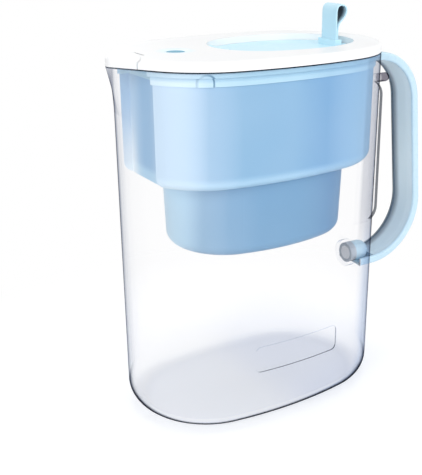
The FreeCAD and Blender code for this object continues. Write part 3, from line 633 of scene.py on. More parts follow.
@dataclass(frozen=True)
class CrownedPlastic(MouldedPlastic):
    """Soft plastic whose face rolls off towards its long edges, with painted shade towards the far one and
    low down.
    """

    half_width: float = 0.011
    crown: float = 0.0022
    # Painted shade across the face, darkest at the far edge, and more painted shade low down
    deep: Stops = ((0.0, WHITE), (0.3, (0.83, 0.84, 0.86)), (0.6, (0.47, 0.5, 0.55)),
                   (0.82, (0.21, 0.25, 0.31)), (1.0, (0.05, 0.07, 0.1)))
    deep_start: float = 0.0035
    low_shade: Colour = (0.68, 0.72, 0.78)
    low_z: float = 0.09
    mid_z: float = 0.16

    def colours(self, shader: Shader) -> Socket:
        """Lay painted shade over the drift colour towards the far edge along Y and towards the lower bend
        along Z.

        Args:
            shader: Graph that the nodes go into.

        Returns:
            Socket of the colour.
        """
        ends = {0: shader.axis("Y"), 1: self.deep_start, 2: self.half_width}
        deep = shader.ramp(shader.add("MapRange", ends).outputs[0], self.deep)
        base = shader.blend(1.0, super().colours(shader), deep, Blend.MULTIPLY)
        low = shader.spread(shader.axis("Z"), self.mid_z, self.low_z)
        return shader.blend(low, base, self.low_shade, Blend.MULTIPLY)

    def relief(self, shader: Shader) -> Socket:
        """Roll the face off: its height falls with the fourth power of the way from the middle to the edge.

        Args:
            shader: Graph that the nodes go into.

        Returns:
            Socket of the surface's direction.
        """
        across = shader.spread(shader.axis("Y"), -self.half_width, self.half_width, -1.0, 1.0)
        fall = shader.product(across, across, across, across)
        return shader.bump(shader.spread(fall, 0.0, 1.0, 1.0, 0.0), self.crown)


@dataclass(frozen=True)
class HandlePlastic(MouldedPlastic):
    """Satin handle plastic: painted shade on one side, where its far edge meets the liner; grey on the plug,
    pale in its hollow.
    """

    plug: Colour = (0.55, 0.6, 0.65)
    plug_x: float = 0.0
    plug_z: float = 0.0
    plug_soft: float = 0.0005
    hollow: Colour = (0.93, 0.94, 0.95)
    hollow_radius: float = 0.0052
    hollow_soft: float = 0.0004
    # Painted shade along the far edge where it meets the liner
    far_edge_shade: Colour = (0.03, 0.05, 0.08)
    far_edge_shade_y: float = 0.0113
    far_edge_shade_soft: float = 0.0005
    far_edge_shade_from_plug: Range = (0.009, 0.012)
    far_edge_shade_turn: Range = (-0.2, -0.45)
    gap_middle: Point = (0.11, 0.0, 0.158)

    def inward(self, shader: Shader) -> Socket:
        """Find the far edge where it faces the middle of the hand's gap, from place and direction.

        Args:
            shader: Graph that the nodes go into.

        Returns:
            Socket that is 1 there and 0 elsewhere.
        """
        arm = shader.vector("SUBTRACT", shader.place(), self.gap_middle)
        start, full = (self.plug_x + along for along in self.far_edge_shade_from_plug)
        return shader.product(shader.spread(shader.turn(arm, shader.direction()), *self.far_edge_shade_turn),
                              shader.spread(shader.axis("Y"), self.far_edge_shade_y - self.far_edge_shade_soft, self.far_edge_shade_y),
                              shader.spread(shader.axis("X"), start, full))

    def colours(self, shader: Shader) -> Socket:
        """Change the drift colour with painted shade on the far edge, on the plug and by distance from the
        plug's middle line.

        Args:
            shader: Graph that the nodes go into.

        Returns:
            Socket of the colour.
        """
        base = shader.blend(self.inward(shader), super().colours(shader), self.far_edge_shade)
        across = shader.vector("MULTIPLY", shader.place(), (0.0, 1.0, 1.0))
        reach = shader.vector("DISTANCE", across, (0.0, 0.0, self.plug_z))
        hole = shader.spread(reach, self.hollow_radius + self.hollow_soft, self.hollow_radius)
        end = shader.spread(shader.axis("X"), self.plug_x + self.plug_soft, self.plug_x)
        return shader.blend(end, base, shader.blend(hole, self.plug, self.hollow))


@dataclass(frozen=True)
class LoopSilicone(MouldedPlastic):
    """Soft silicone with painted shade on the inside of the loop, most of all away from its open ends."""

    # Painted shade inside the loop
    inside: Colour = (0.025, 0.06, 0.095)
    inside_turn: Range = (-0.2, -0.6)
    inside_reach: Range = (0.011, 0.007)
    middle: Point = (0.0, 0.0, 0.0)
    half_width: float = 0.0
    depth: float = 0.0048
    open_share: float = 0.12

    def colours(self, shader: Shader) -> Socket:
        """Lay painted shade over the drift colour on faces that look at the middle of the loop.

        Args:
            shader: Graph that the nodes go into.

        Returns:
            Socket of the colour.
        """
        arm = shader.vector("SUBTRACT", shader.place(), self.middle)
        flat = shader.vector("MULTIPLY", arm, (1.0, 0.0, 1.0))
        inward = shader.spread(shader.turn(flat, shader.direction()), *self.inside_turn)
        near = shader.spread(shader.vector("LENGTH", flat), *self.inside_reach)
        start = self.half_width - self.depth
        deep = shader.spread(shader.beside("Y"), start, self.half_width, 1.0, self.open_share)
        return shader.blend(shader.product(inward, near, deep), super().colours(shader), self.inside)


@dataclass(frozen=True)
class LidPlastic(MouldedPlastic):
    """Glossy lid plastic with a painted glow round the lens."""

    glow: Colour = (0.75, 0.9, 0.97)
    glow_x: float = 0.0
    glow_start: float = 0.0064
    glow_end: float = 0.015

    def colours(self, shader: Shader) -> Socket:
        """Paint a glow over the drift colour, by distance from the lens.

        Args:
            shader: Graph that the nodes go into.

        Returns:
            Socket of the colour.
        """
        flat = shader.vector("MULTIPLY", shader.place(), (1.0, 1.0, 0.0))
        reach = shader.vector("DISTANCE", flat, (self.glow_x, 0.0, 0.0))
        near = shader.spread(reach, self.glow_end, self.glow_start)
        return shader.blend(near, super().colours(shader), self.glow)


@dataclass(frozen=True)
class Felt:
    """Pressed white fibre."""

    name: str
    colour: Colour
    fibre: float = 0.0006
    fibre_detail: float = 6.0
    fibre_depth: float = 0.0003
    fibre_strength: float = 0.6
    shade: float = 0.8
    spread: Range = (0.25, 0.75)
    roughness: float = 0.95
    sheen: float = 0.3

    def material(self) -> bpy.types.Material:
        """Make fine fibres that show in colour and bump.

        Returns:
            The material.
        """
        shader = Shader.named(self.name)
        fibres = shader.noise(self.fibre, self.fibre_detail)
        dark = tuple(part * self.shade for part in self.colour)
        return shader.finish(shader.add("BsdfPrincipled", {
            "Base Color": shader.ramp(fibres, tuple(zip(self.spread, (dark, self.colour)))),
            "Roughness": self.roughness, "Sheen Weight": self.sheen,
            "Normal": shader.bump(fibres, self.fibre_depth, self.fibre_strength)}))


@dataclass(frozen=True)
class Granules:
    """Loose bed of dark grains with a few pale beads."""

    name: str
    dark: Colour
    pale: Colour
    size: float
    dark_part: float = 0.68
    pale_part: float = 0.74
    lift: float = 2.0
    depth: float = 0.5
    strength: float = 0.7
    roughness: float = 0.6

    def material(self) -> bpy.types.Material:
        """Make one cell for each grain, coloured by its own number.

        Returns:
            The material.
        """
        shader = Shader.named(self.name)
        cells = shader.add("TexVoronoi", {"Vector": shader.place(), "Scale": 1.0 / self.size})
        pick = shader.add("SeparateColor", {0: cells.outputs["Color"]}).outputs[0]
        lighter = tuple(part * self.lift for part in self.dark)
        stops = ((0.0, self.dark), (self.dark_part, lighter), (self.pale_part, self.pale))
        return shader.finish(shader.add("BsdfPrincipled", {
            "Base Color": shader.ramp(pick, stops), "Roughness": self.roughness,
            "Normal": shader.bump(cells.outputs["Distance"], self.size * self.depth, self.strength)}))


@dataclass(frozen=True)
class Metal:
    """Bright drawn metal with fine lines along one axis."""

    name: str
    colour: Colour
    roughness: float
    stretch: Point
    detail: float = 4.0
    shade: float = 0.9
    rough_parts: Range = (0.7, 1.3)
    line_depth: float = 0.00002
    line_strength: float = 0.3

    def material(self) -> bpy.types.Material:
        """Make stretched noise that shows in colour, roughness and bump.

        Returns:
            The material.
        """
        shader = Shader.named(self.name)
        place = shader.add("Mapping", {"Vector": shader.place(), "Scale": self.stretch}).outputs[0]
        lines = shader.add("TexNoise", {"Vector": place, "Scale": 1.0, "Detail": self.detail}).outputs["Fac"]
        dark = tuple(part * self.shade for part in self.colour)
        return shader.finish(shader.add("BsdfPrincipled", {
            "Base Color": shader.ramp(lines, tuple(zip(NOISE_RANGE, (dark, self.colour)))), "Metallic": 1.0,
            "Roughness": shader.uneven(self.roughness, self.rough_parts, lines),
            "Normal": shader.bump(lines, self.line_depth, self.line_strength)}))


@dataclass(frozen=True)
class CircuitBoard:
    """Lacquered board with faint tracks under the lacquer."""

    name: str
    colour: Colour
    track: Colour
    track_scale: float = 260.0
    track_width: float = 0.06
    track_depth: float = 0.00003
    track_strength: float = 0.4
    roughness: float = 0.4
    coat: float = 0.5

    def material(self) -> bpy.types.Material:
        """Make square tracks from a brick pattern under a coat.

        Returns:
            The material.
        """
        shader = Shader.named(self.name)
        board = (*self.colour, 1.0)
        tracks = shader.add("TexBrick", {
            "Vector": shader.place(), "Scale": self.track_scale, "Mortar Size": self.track_width,
            "Color1": board, "Color2": board, "Mortar": (*self.track, 1.0)})
        return shader.finish(shader.add("BsdfPrincipled", {
            "Base Color": tracks.outputs["Color"], "Roughness": self.roughness, "Coat Weight": self.coat,
            "Normal": shader.bump(tracks.outputs["Fac"], self.track_depth, self.track_strength)}))


# Surfaces worked out as whole arrays


@dataclass
class Grid:
    """One surface of points on a grid of rows and columns, whose columns go all the way round."""

    points: np.ndarray
    start: Cap = Cap.NONE
    end: Cap = Cap.NONE

    def faces(self, offset: int) -> list[list[int]]:
        """Join the points: one quad for each cell, and a polygon for each closed end.

        Args:
            offset: Number of the first point in the joined mesh.

        Returns:
            Lists of point numbers, in the order that faces outwards.
        """
        rows, columns = self.points.shape[:2]
        index = np.arange(rows * columns).reshape(rows, columns) + offset
        grid = np.concatenate((index, index[:, :1]), axis=1)
        corners = (grid[:-1, :-1], grid[:-1, 1:], grid[1:, 1:], grid[1:, :-1])
        made = np.stack(corners, axis=-1).reshape(-1, 4).tolist()
        if self.start is Cap.FAN:
            made.append(index[0, ::-1].tolist())
        if self.end is Cap.FAN:
            made.append(index[-1].tolist())
        return made


def circle(count: int) -> np.ndarray:
    """Return the angles of points spaced evenly round a circle."""
    return np.linspace(0.0, 2 * math.pi, count, endpoint=False)


def turned(radii: np.ndarray, heights: np.ndarray, count: int) -> np.ndarray:
    """Turn a profile about the Z axis: at angle a, its point is (radius * cos a, radius * sin a, height).

    Args:
        radii: Distances from the axis, one for each row.
        heights: Heights, one for each row.
        count: Number of points in a row.

    Returns:
        Points in rows and columns.
    """
    angle = circle(count)
    high = np.broadcast_to(heights[:, None], (len(radii), count))
    return np.stack((radii[:, None] * np.cos(angle), radii[:, None] * np.sin(angle), high), axis=-1)


def smooth_line(corners: np.ndarray, count: int) -> np.ndarray:
    """Cubic B-spline through a row of control points, clamped at both ends.

    Each span is the sum of four control points weighted by the uniform cubic basis; the end points
    are repeated three times, so that the line starts and stops at them.

    Args:
        corners: Control points, one a row.
        count: Number of points on the line.

    Returns:
        The points, evenly spaced in the parameter.
    """
    held = np.concatenate((corners[:1], corners[:1], corners, corners[-1:], corners[-1:]))
    spans = len(held) - 3
    at = np.linspace(0.0, spans, count)
    first = np.minimum(at.astype(int), spans - 1)
    t = (at - first)[:, None]
    weights = ((1 - t) ** 3 / 6, (3 * t ** 3 - 6 * t ** 2 + 4) / 6,
               (-3 * t ** 3 + 3 * t ** 2 + 3 * t + 1) / 6, t ** 3 / 6)
    return sum(weight * held[first + step] for step, weight in enumerate(weights))


def soft_slab(half_width: float, half_height: float, power: float, count: int) -> np.ndarray:
    """Outline of a soft rectangle: a superellipse, so that its corners are rounded.

    The point at angle a is (sign cos a * |cos a| ** (2 / power) * half width, and the same with sin
    for the height).

    Args:
        half_width: Half the size along the first axis.
        half_height: Half the size along the second axis.
        power: 2 is an ellipse, more is squarer.
        count: Number of points.

    Returns:
        Points in the plane, one a row.
    """
    angle = circle(count)
    wave = np.stack((np.cos(angle), np.sin(angle)), axis=-1)
    return np.sign(wave) * np.abs(wave) ** (2 / power) * np.array((half_width, half_height))


def make_piece(name: str, grids: Sequence[Grid], material: bpy.types.Material, body: Body,
               replaces: Sequence[str]) -> None:
    """Join grids into one smooth mesh object and hand it to the frame.

    Args:
        name: Name of the piece.
        grids: Surfaces of the piece, in millimetres.
        material: Its finish.
        body: Body that it moves with.
        replaces: CAD nodes that it stands for.
    """
    points, faces, count = [], [], 0
    for grid in grids:
        points.append(grid.points.reshape(-1, 3) * MM)
        faces.extend(grid.faces(count))
        count += len(points[-1])
    mesh = bpy.data.meshes.new(name)
    mesh.from_pydata(np.concatenate(points).tolist(), [], faces)
    mesh.polygons.foreach_set("use_smooth", np.ones(len(mesh.polygons), dtype=bool))
    mesh.materials.append(material)
    mesh.update()
    piece = bpy.data.objects.new(name, mesh)
    bpy.context.scene.collection.objects.link(piece)
    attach(piece, body.value)
    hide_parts(*replaces)
    LOG.info("%s: %d points, %d faces", name, len(mesh.vertices), len(mesh.polygons))


def dress(nodes: Sequence[str], finish: Finish) -> None:
    """Give CAD nodes that keep their shape a finish.

    Args:
        nodes: Names of the nodes.
        finish: Finish for all of them.
    """
    material = finish.material()
    for node in nodes:
        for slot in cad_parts[node].material_slots:
            slot.material = material
        LOG.info("%s: dressed with %s", node, material.name)


# Sub-assemblies


@dataclass
class Jug:
    """Clear jug with its handle; sizes in metres."""

    rim_z: float = 0.248
    rim_margin: float = 0.003
    rear_x: float = 0.097
    half_run: float = 0.034
    floor_z: float = 0.0042
    floor_soft: float = 0.001
    rear_floor_x: float = 0.03
    rear_floor_soft: float = 0.045
    rib_reach: float = 0.022
    rib_low: float = 0.106
    rib_high: float = 0.219
    rib_half: float = 0.0017
    rib_edge: float = 0.005
    rib_soft: float = 0.002
    peg_radius: float = 0.0034
    peg_start: float = 0.0025
    peg_length: float = 0.01
    peg_under: float = 0.0022
    peg_over: float = 0.006
    peg_margin: float = 0.001
    plug_z: float = 0.0837
    plug_depth: float = 0.002
    boss_radius: float = 0.0106
    boss_x: float = 0.0877
    boss_margin: float = 0.003
    plate_length: float = 0.068
    plate_low: float = 0.0415
    plate_high: float = 0.0605
    plate_y: Range = (-0.0645, -0.057)
    plate_edge: float = 0.002
    plate_margin: float = 0.001

    def floor(self) -> list[Patch]:
        """Return painted shade over the jug's floor, where the studio floor shows through: all of it, and
        once more towards the rear.
        """
        corner = (FAR, FAR, self.floor_z)
        return [Patch((-FAR, -FAR, UNDER), corner, (0.974, 0.979, 0.988), self.floor_soft),
                Patch((self.rear_floor_x, -FAR, UNDER), corner, (0.972, 0.977, 0.99), self.rear_floor_soft)]

    def rib(self) -> list[Patch]:
        """Return the rib's outer edge and its peg, painted dark and grey to stand in for refraction, and the
        boss round the handle's plug.

        Returns:
            The patches.
        """
        x = self.rear_x + self.rib_reach
        side = self.peg_radius + self.peg_margin
        edge = Patch((x - self.rib_edge, -self.rib_half, self.rib_low - self.rib_soft),
                     (x + self.rib_soft, self.rib_half, self.rib_high - self.rib_soft),
                     (0.2, 0.21, 0.23), self.rib_soft, Faces.RIMS)
        peg = Patch((x - self.peg_start, -side, self.rib_high - self.peg_under),
                    (x + self.peg_length, side, self.rib_high + self.peg_over),
                    (0.48, 0.47, 0.51), self.rib_soft)
        boss = Patch((self.boss_x - self.boss_margin, -self.boss_radius, self.plug_z - self.boss_radius),
                     (self.rear_x - self.boss_margin, self.boss_radius, self.plug_z + self.boss_radius),
                     (0.97, 0.973, 0.98))
        return [edge, peg, boss]

    def plate(self) -> list[Patch]:
        """Return the plate's edges: painted shade below and at the rear, a paler grey on top, as lit from
        above.

        Returns:
            The patches.
        """
        half = self.plate_length / 2
        front, rear = -half - self.plate_margin, half + self.plate_margin
        low, high = self.plate_low - self.plate_margin, self.plate_high + self.plate_margin
        corner = half - self.plate_edge
        sides = (((front, low), (rear, self.plate_low + self.plate_edge), (0.2, 0.25, 0.38)),
                 ((corner, low), (rear, high), (0.3, 0.34, 0.42)),
                 ((front, self.plate_high - self.plate_edge), (corner, high), (0.8, 0.82, 0.86)))
        return [Patch((x, self.plate_y[0], z), (end_x, self.plate_y[1], end_z), tint, faces=Faces.RIMS)
                for (x, z), (end_x, end_z), tint in sides]

    def outlines(self) -> list[Patch]:
        """Return painted dark edges along the outlines, standing in for refraction: rear grey and line, cool
        lower rear, spout end and base line.

        Returns:
            The patches.
        """
        top = self.rim_z - self.rim_margin
        return [
            edge_band(x=(0.05, FAR), z=(0.13, top), tint=(0.86, 0.865, 0.885), soft=0.03, turn=(0.46, 0.53)),
            edge_band(x=(0.04, FAR), z=(0.12, top), tint=(0.62, 0.63, 0.66), soft=0.02, turn=(0.8, 0.93)),
            edge_band(x=(0.04, FAR), z=(0.0, 0.1), tint=(0.9, 0.93, 0.98), soft=0.03, turn=(0.5, 0.7)),
            edge_band(x=(-FAR, -0.03), z=(0.14, top), tint=(0.8, 0.81, 0.84), soft=0.05, turn=(0.76, 0.92)),
            edge_band(x=(-FAR, FAR), z=(UNDER, 0.011), tint=(0.06, 0.08, 0.13), soft=0.007,
                      turn=(0.58, 0.82)),
        ]

    def build(self) -> None:
        """Dress the jug, the handle's shell and its liner."""
        dress(["pitcher_body"], ClearPlastic(
            "clear_plastic",
            # The edge ramps darken the plastic seen edge on: partly its own tint through a longer path,
            # partly painted dark edges standing in for refraction.
            edge=((0.0, (0.998, 0.998, 0.999)), (0.3, (0.996, 0.996, 0.998)), (0.5, (0.982, 0.983, 0.987)),
                  (0.6, (0.957, 0.96, 0.968)), (0.7, (0.91, 0.915, 0.93)), (0.77, (0.84, 0.85, 0.875)),
                  (0.85, (0.68, 0.7, 0.74)), (0.93, (0.4, 0.42, 0.48)), (1.0, (0.06, 0.07, 0.1))),
            inner_edge=((0.0, (0.998, 0.998, 0.999)), (0.7, (0.995, 0.995, 0.997)),
                        (1.0, (0.96, 0.963, 0.972))),
            half_run=self.half_run,
            veil=((0.0, 0.003), (0.6, 0.006), (0.8, 0.015), (1.0, 0.02)),
            gloss=(0.85, 0.86, 0.89),
            rim_z=self.rim_z,
            # Painted shade along the rim under the lid
            rim_shade=(0.12, 0.14, 0.18),
            patches=self.floor() + self.rib() + self.plate() + self.outlines()))
        dress(["handle_shell"], HandlePlastic(
            "handle_gloss", (0.53, 0.72, 0.84), (0.55, 0.73, 0.85), roughness=0.3, grain=0.0008,
            grain_depth=0.00001, coat=0.1, specular=0.3, plug_x=self.rear_x - self.plug_depth,
            plug_z=self.plug_z))
        dress(["handle_liner"], CrownedPlastic(
            "handle_soft", (0.76, 0.9, 0.95), (0.78, 0.91, 0.96), roughness=0.5, grain=0.0006, sheen=0.1,
            specular=0.3))


def from_level(level: float, parts: Range) -> Range:
    """Return two heights that are measured from a level."""
    return level + parts[0], level + parts[1]


@dataclass
class Hopper:
    """Translucent blue tub with the cartridge's socket; sizes in metres."""

    pale_x: float = -0.082
    pale_end: float = -0.074
    bend_x: float = -0.053
    bend_soft: float = 0.013
    deep_x: float = 0.036
    end_x: float = 0.06
    collar_z: float = 0.2385
    collar: Range = (-0.0005, 0.0)
    collar_line: Range = (0.002, 0.004)
    tub_z: float = 0.171
    foot: Range = (0.01, 0.004)
    ledge: Range = (0.0005, -0.001)
    socket_shift: float = 0.021
    throat_x: float = -0.078
    throat_half: float = 0.0245
    far_pale_z: Range = (0.225, 0.178)
    catch_x: float = -0.064
    catch_z: float = 0.2415
    catch_radius: float = 0.0045

    def layers(self) -> list[Layer]:
        """Return the tones: painted light on the collar, brightest along its lower edge; a painted highlight
        along the foot; painted shade on the socket under the ledge; painted light on the socket's end towards
        the spout.

        Returns:
            The layers, from the first laid to the last.
        """
        end = (self.bend_x, self.bend_x - self.bend_soft)
        return [
            # Painted light on the collar and foot, painted shade under the ledge, painted light on the
            # socket's end
            Layer("Z", *from_level(self.collar_z, self.collar), (0.25, 0.38, 0.42), Blend.SCREEN, fade=0.7),
            Layer("Z", *from_level(self.collar_z, self.collar_line), (0.8, 0.86, 0.91)),
            Layer("Z", *from_level(self.tub_z, self.foot), (0.2, 0.32, 0.46), Blend.SCREEN, fade=0.9),
            Layer("Z", *from_level(self.tub_z, self.ledge), (0.46, 0.56, 0.66)),
            Layer("X", *end, (0.36, 0.54, 0.72), Blend.SCREEN, below_z=self.tub_z),
        ]

    def build(self) -> None:
        """Dress the hopper."""
        dress(["hopper"], TintedPlastic(
            "hopper_blue",
            # Paler towards the spout: partly the blue, partly painted light from the left
            run=((self.pale_x, (0.55, 0.7, 0.85)), (self.pale_end, (0.33, 0.5, 0.68)),
                 (self.bend_x, (0.235, 0.42, 0.61)), (0.0, (0.23, 0.42, 0.62)),
                 (self.deep_x, (0.178, 0.36, 0.59)), (self.end_x, (0.26, 0.455, 0.67))),
            low_z=self.tub_z + self.ledge[1],
            low_shift=self.socket_shift,
            # Painted shade in the pouring channel, with a pale tone low on its far side
            throat=Throat(self.throat_x, self.throat_half, tone=(0.57, 0.74, 0.88), far_pale=(0.82, 0.88, 0.93),
                          far_pale_z=self.far_pale_z),
            layers=self.layers(),
            # Painted shade round the catch
            catch=CatchLine(self.catch_x, self.collar_z, self.catch_z, self.catch_radius,
                            tone=(0.3, 0.42, 0.52))))


@dataclass
class Cartridge:
    """Filter cartridge in the hopper's socket."""

    grain: float = 0.0011

    def build(self) -> None:
        """Dress the casing, its cap, seal, pads and bed."""
        dress(["filter_casing", "filter_cap"], MouldedPlastic(
            "cartridge_white", (0.82, 0.83, 0.84), (0.79, 0.8, 0.82), roughness=0.42, grain=0.0007))
        dress(["filter_seal"], MouldedPlastic(
            "seal_silicone", (0.6, 0.66, 0.72), (0.64, 0.7, 0.75), roughness=0.6, grain=0.0004, sheen=0.2))
        dress(["filter_top_pad", "filter_bottom_pad"], Felt("pad_felt", (0.82, 0.82, 0.79)))
        dress(["filter_media"], Granules(
            "carbon_bed", dark=(0.012, 0.011, 0.011), pale=(0.6, 0.52, 0.38), size=self.grain))


@dataclass
class Lid:
    """White lid with its pins and the works of the indicator."""

    pin_lines: Point = (900.0, 60.0, 900.0)
    contact_lines: Point = (80.0, 900.0, 900.0)

    def build(self) -> None:
        """Dress the shell, the underside, the cover over the lip, the pins and the works."""
        # Painted glow round the lens on the lid
        dress(["lid_shell", "spout_cover"], LidPlastic(
            "lid_white", (0.87, 0.878, 0.885), (0.865, 0.873, 0.882), roughness=0.32, grain=0.02,
            grain_depth=0.000002, coat=0.05, glow_x=LENS_X * MM))
        dress(["lid_base", "battery_door"], MouldedPlastic(
            "lid_under", (0.83, 0.84, 0.86), (0.8, 0.81, 0.83), roughness=0.38, grain=0.0008))
        dress(["flap_pin", "spout_pin"], Metal(
            "pin_steel", (0.62, 0.63, 0.65), roughness=0.25, stretch=self.pin_lines))
        dress(["battery_contacts", "coin_cell", "battery_screws"], Metal(
            "contact_steel", (0.62, 0.6, 0.52), roughness=0.3, stretch=self.contact_lines))
        dress(["circuit_board"], CircuitBoard("board_green", (0.01, 0.09, 0.04), track=(0.03, 0.2, 0.09)))
        dress(["switch_housing", "switch_plunger"], MouldedPlastic(
            "switch_black", (0.02, 0.02, 0.022), (0.03, 0.03, 0.033), roughness=0.45, grain=0.0004))
        dress(["indicator_lamp"], MouldedPlastic(
            "lamp_clear", (0.8, 0.86, 0.9), (0.76, 0.84, 0.9), roughness=0.15, grain=0.0005,
            grain_depth=0.00001, coat=0.5))


@dataclass
class RefillFlap:
    """Pale flap in the lid's recess with its soft pull loop; sizes in millimetres."""

    strap_x: float = 67.5
    flap_top: float = 249.5
    flap_under: float = 247.5
    layer: float = 1.2
    layer_gap: float = 0.02
    width: float = 16.5
    band_power: float = 9.0
    foot: float = 3.0
    foot_thickness: float = 1.5
    foot_power: float = 7.0
    hole_x: float = 3.6
    hole_z: float = 22.0
    line_points: int = 160
    band_points: int = 48
    foot_points: int = 64

    def hole_middle(self) -> Point:
        """Return the middle of the loop's hole, in metres."""
        return ((self.strap_x + self.hole_x) * MM, 0.0, (self.flap_top + self.hole_z) * MM)

    def loop_line(self) -> np.ndarray:
        """Middle line of the band: up one layer, round the loop and down the other.

        The control points are measured from the foot of the loop on the flap.

        Returns:
            Points as X and Z, one a row.
        """
        half = self.layer / 2 + self.layer_gap
        low = self.flap_under - self.foot_thickness / 2 - self.flap_top
        corners = np.array([
            (-half, low), (-half, 2.0), (-half, 8.0), (-half, 14.0), (-half, 19.0), (-half - 0.1, 24.0),
            (0.4, 27.2), (4.4, 28.2), (8.4, 26.0), (8.3, 21.6), (5.6, 18.2), (2.4, 15.6),
            (half, 12.4), (half, 8.0), (half, 2.0), (half, low)])
        return smooth_line(corners + np.array((self.strap_x, self.flap_top)), self.line_points)

    def band(self) -> Grid:
        """Band of the loop: a soft rectangle carried along the middle line.

        The line lies in the X-Z plane. At each of its points the rectangle's width lies along Y and its
        thickness along the line's normal, which is the tangent turned by a quarter turn.

        Returns:
            The closed surface.
        """
        line = self.loop_line()
        tangent = np.gradient(line, axis=0)
        tangent /= np.linalg.norm(tangent, axis=1, keepdims=True)
        normal = np.stack((-tangent[:, 1], tangent[:, 0]), axis=-1)
        section = soft_slab(self.width / 2, self.layer / 2, self.band_power, self.band_points)
        along = line[:, None, :] + normal[:, None, :] * section[None, :, 1:2]
        across = np.broadcast_to(section[None, :, 0], along.shape[:2])
        points = np.stack((along[..., 0], across, along[..., 1]), axis=-1)
        return Grid(points, start=Cap.FAN, end=Cap.FAN)

    def foot_pad(self) -> Grid:
        """Pad under the flap that keeps the loop in: soft rectangles stacked from its lower face up.

        Returns:
            The closed surface.
        """
        half_x, half_y = self.layer + self.foot, self.width / 2 + self.foot
        outline = soft_slab(half_x, half_y, self.foot_power, self.foot_points)
        rise = np.array((0.0, 0.15, 0.5, 0.85, 1.0))
        shrink = np.array((0.93, 0.99, 1.0, 0.99, 0.93))
        heights = self.flap_under - self.foot_thickness + self.foot_thickness * rise
        flat = outline[None] * shrink[:, None, None]
        upright = np.broadcast_to(heights[:, None, None], (*flat.shape[:2], 1))
        points = np.concatenate((flat, upright), axis=-1) + np.array((self.strap_x, 0.0, 0.0))
        return Grid(points, start=Cap.FAN, end=Cap.FAN)

    def build(self) -> None:
        """Dress the flap and make the loop."""
        dress(["refill_flap"], MouldedPlastic(
            "flap_blue", (0.58, 0.83, 0.94), (0.6, 0.84, 0.945), roughness=0.35, grain=0.0009, specular=0.25))
        soft = LoopSilicone(
            "loop_silicone", (0.53, 0.77, 0.9), (0.56, 0.79, 0.91), roughness=0.5, grain=0.0005, sheen=0.1,
            specular=0.3, middle=self.hole_middle(), half_width=self.width / 2 * MM)
        make_piece("soft_pull_loop", [self.band(), self.foot_pad()], soft.material(), Body.FLAP,
                   ["pull_strap"])


@dataclass
class Indicator:
    """Blue lens in the lid; sizes in millimetres."""

    radius: float = 6.0
    top: float = 253.7
    under: float = 250.9
    flange: float = 7.2
    flange_top: float = 251.5
    chamfer: float = 0.1
    stem_gap: float = 0.05
    under_hole: float = 0.6
    dome: float = 0.35
    dome_parts: Range = (0.9, 0.02)
    edge_height: float = 0.5
    dome_rows: int = 24
    edge_rows: int = 9
    columns: int = 96

    def lens(self) -> Grid:
        """Lens turned about its upright axis: flange, stem, rounded edge and a shallow dome.

        The profile is a row of radii and heights. The edge is a quarter of an ellipse, and the dome's height
        falls with the square of the radius.

        Returns:
            The closed surface.
        """
        part = np.linspace(*self.dome_parts, self.dome_rows)
        dome_z = self.top - self.dome * part ** 2
        edge = np.linspace(0.0, math.pi / 2, self.edge_rows)
        edge_r = self.radius * (part[0] + (1.0 - part[0]) * np.cos(edge))
        edge_z = dome_z[0] - self.edge_height * (1.0 - np.sin(edge))
        inner = self.flange - self.chamfer
        flange = np.array((
            (self.under_hole, self.under), (inner, self.under), (self.flange, self.under + self.chamfer),
            (self.flange, self.flange_top - self.chamfer), (inner, self.flange_top),
            (self.radius + self.stem_gap, self.flange_top)))
        radii = np.concatenate((flange[:, 0], edge_r, self.radius * part[1:]))
        heights = np.concatenate((flange[:, 1], edge_z, dome_z[1:]))
        points = turned(radii, heights, self.columns) + np.array((LENS_X, 0.0, 0.0))
        return Grid(points, start=Cap.FAN, end=Cap.FAN)

    def build(self) -> None:
        """Make the lens."""
        blue = MouldedPlastic("lens_blue", (0.17, 0.4, 0.54), (0.2, 0.43, 0.57), roughness=0.6, grain=0.0012,
                              specular=0.12)
        make_piece("indicator_lens", [self.lens()], blue.material(), Body.BUTTON,
                   ["indicator_button"])


# Studio


@dataclass(frozen=True)
class Lamp:
    """One soft box."""

    name: str
    place: Point
    size: float
    power: float
    aim: Point = (0.0, 0.0, 0.14)

    def build(self) -> None:
        """Make the lamp and turn it to its aim."""
        data = bpy.data.lights.new(self.name, "AREA")
        data.shape = "DISK"
        data.size = self.size
        data.energy = self.power
        lamp = bpy.data.objects.new(self.name, data)
        lamp.location = self.place
        lamp.rotation_mode = "QUATERNION"
        lamp.rotation_quaternion = (Vector(self.aim) - Vector(self.place)).to_track_quat("-Z", "Y")
        bpy.context.scene.collection.objects.link(lamp)


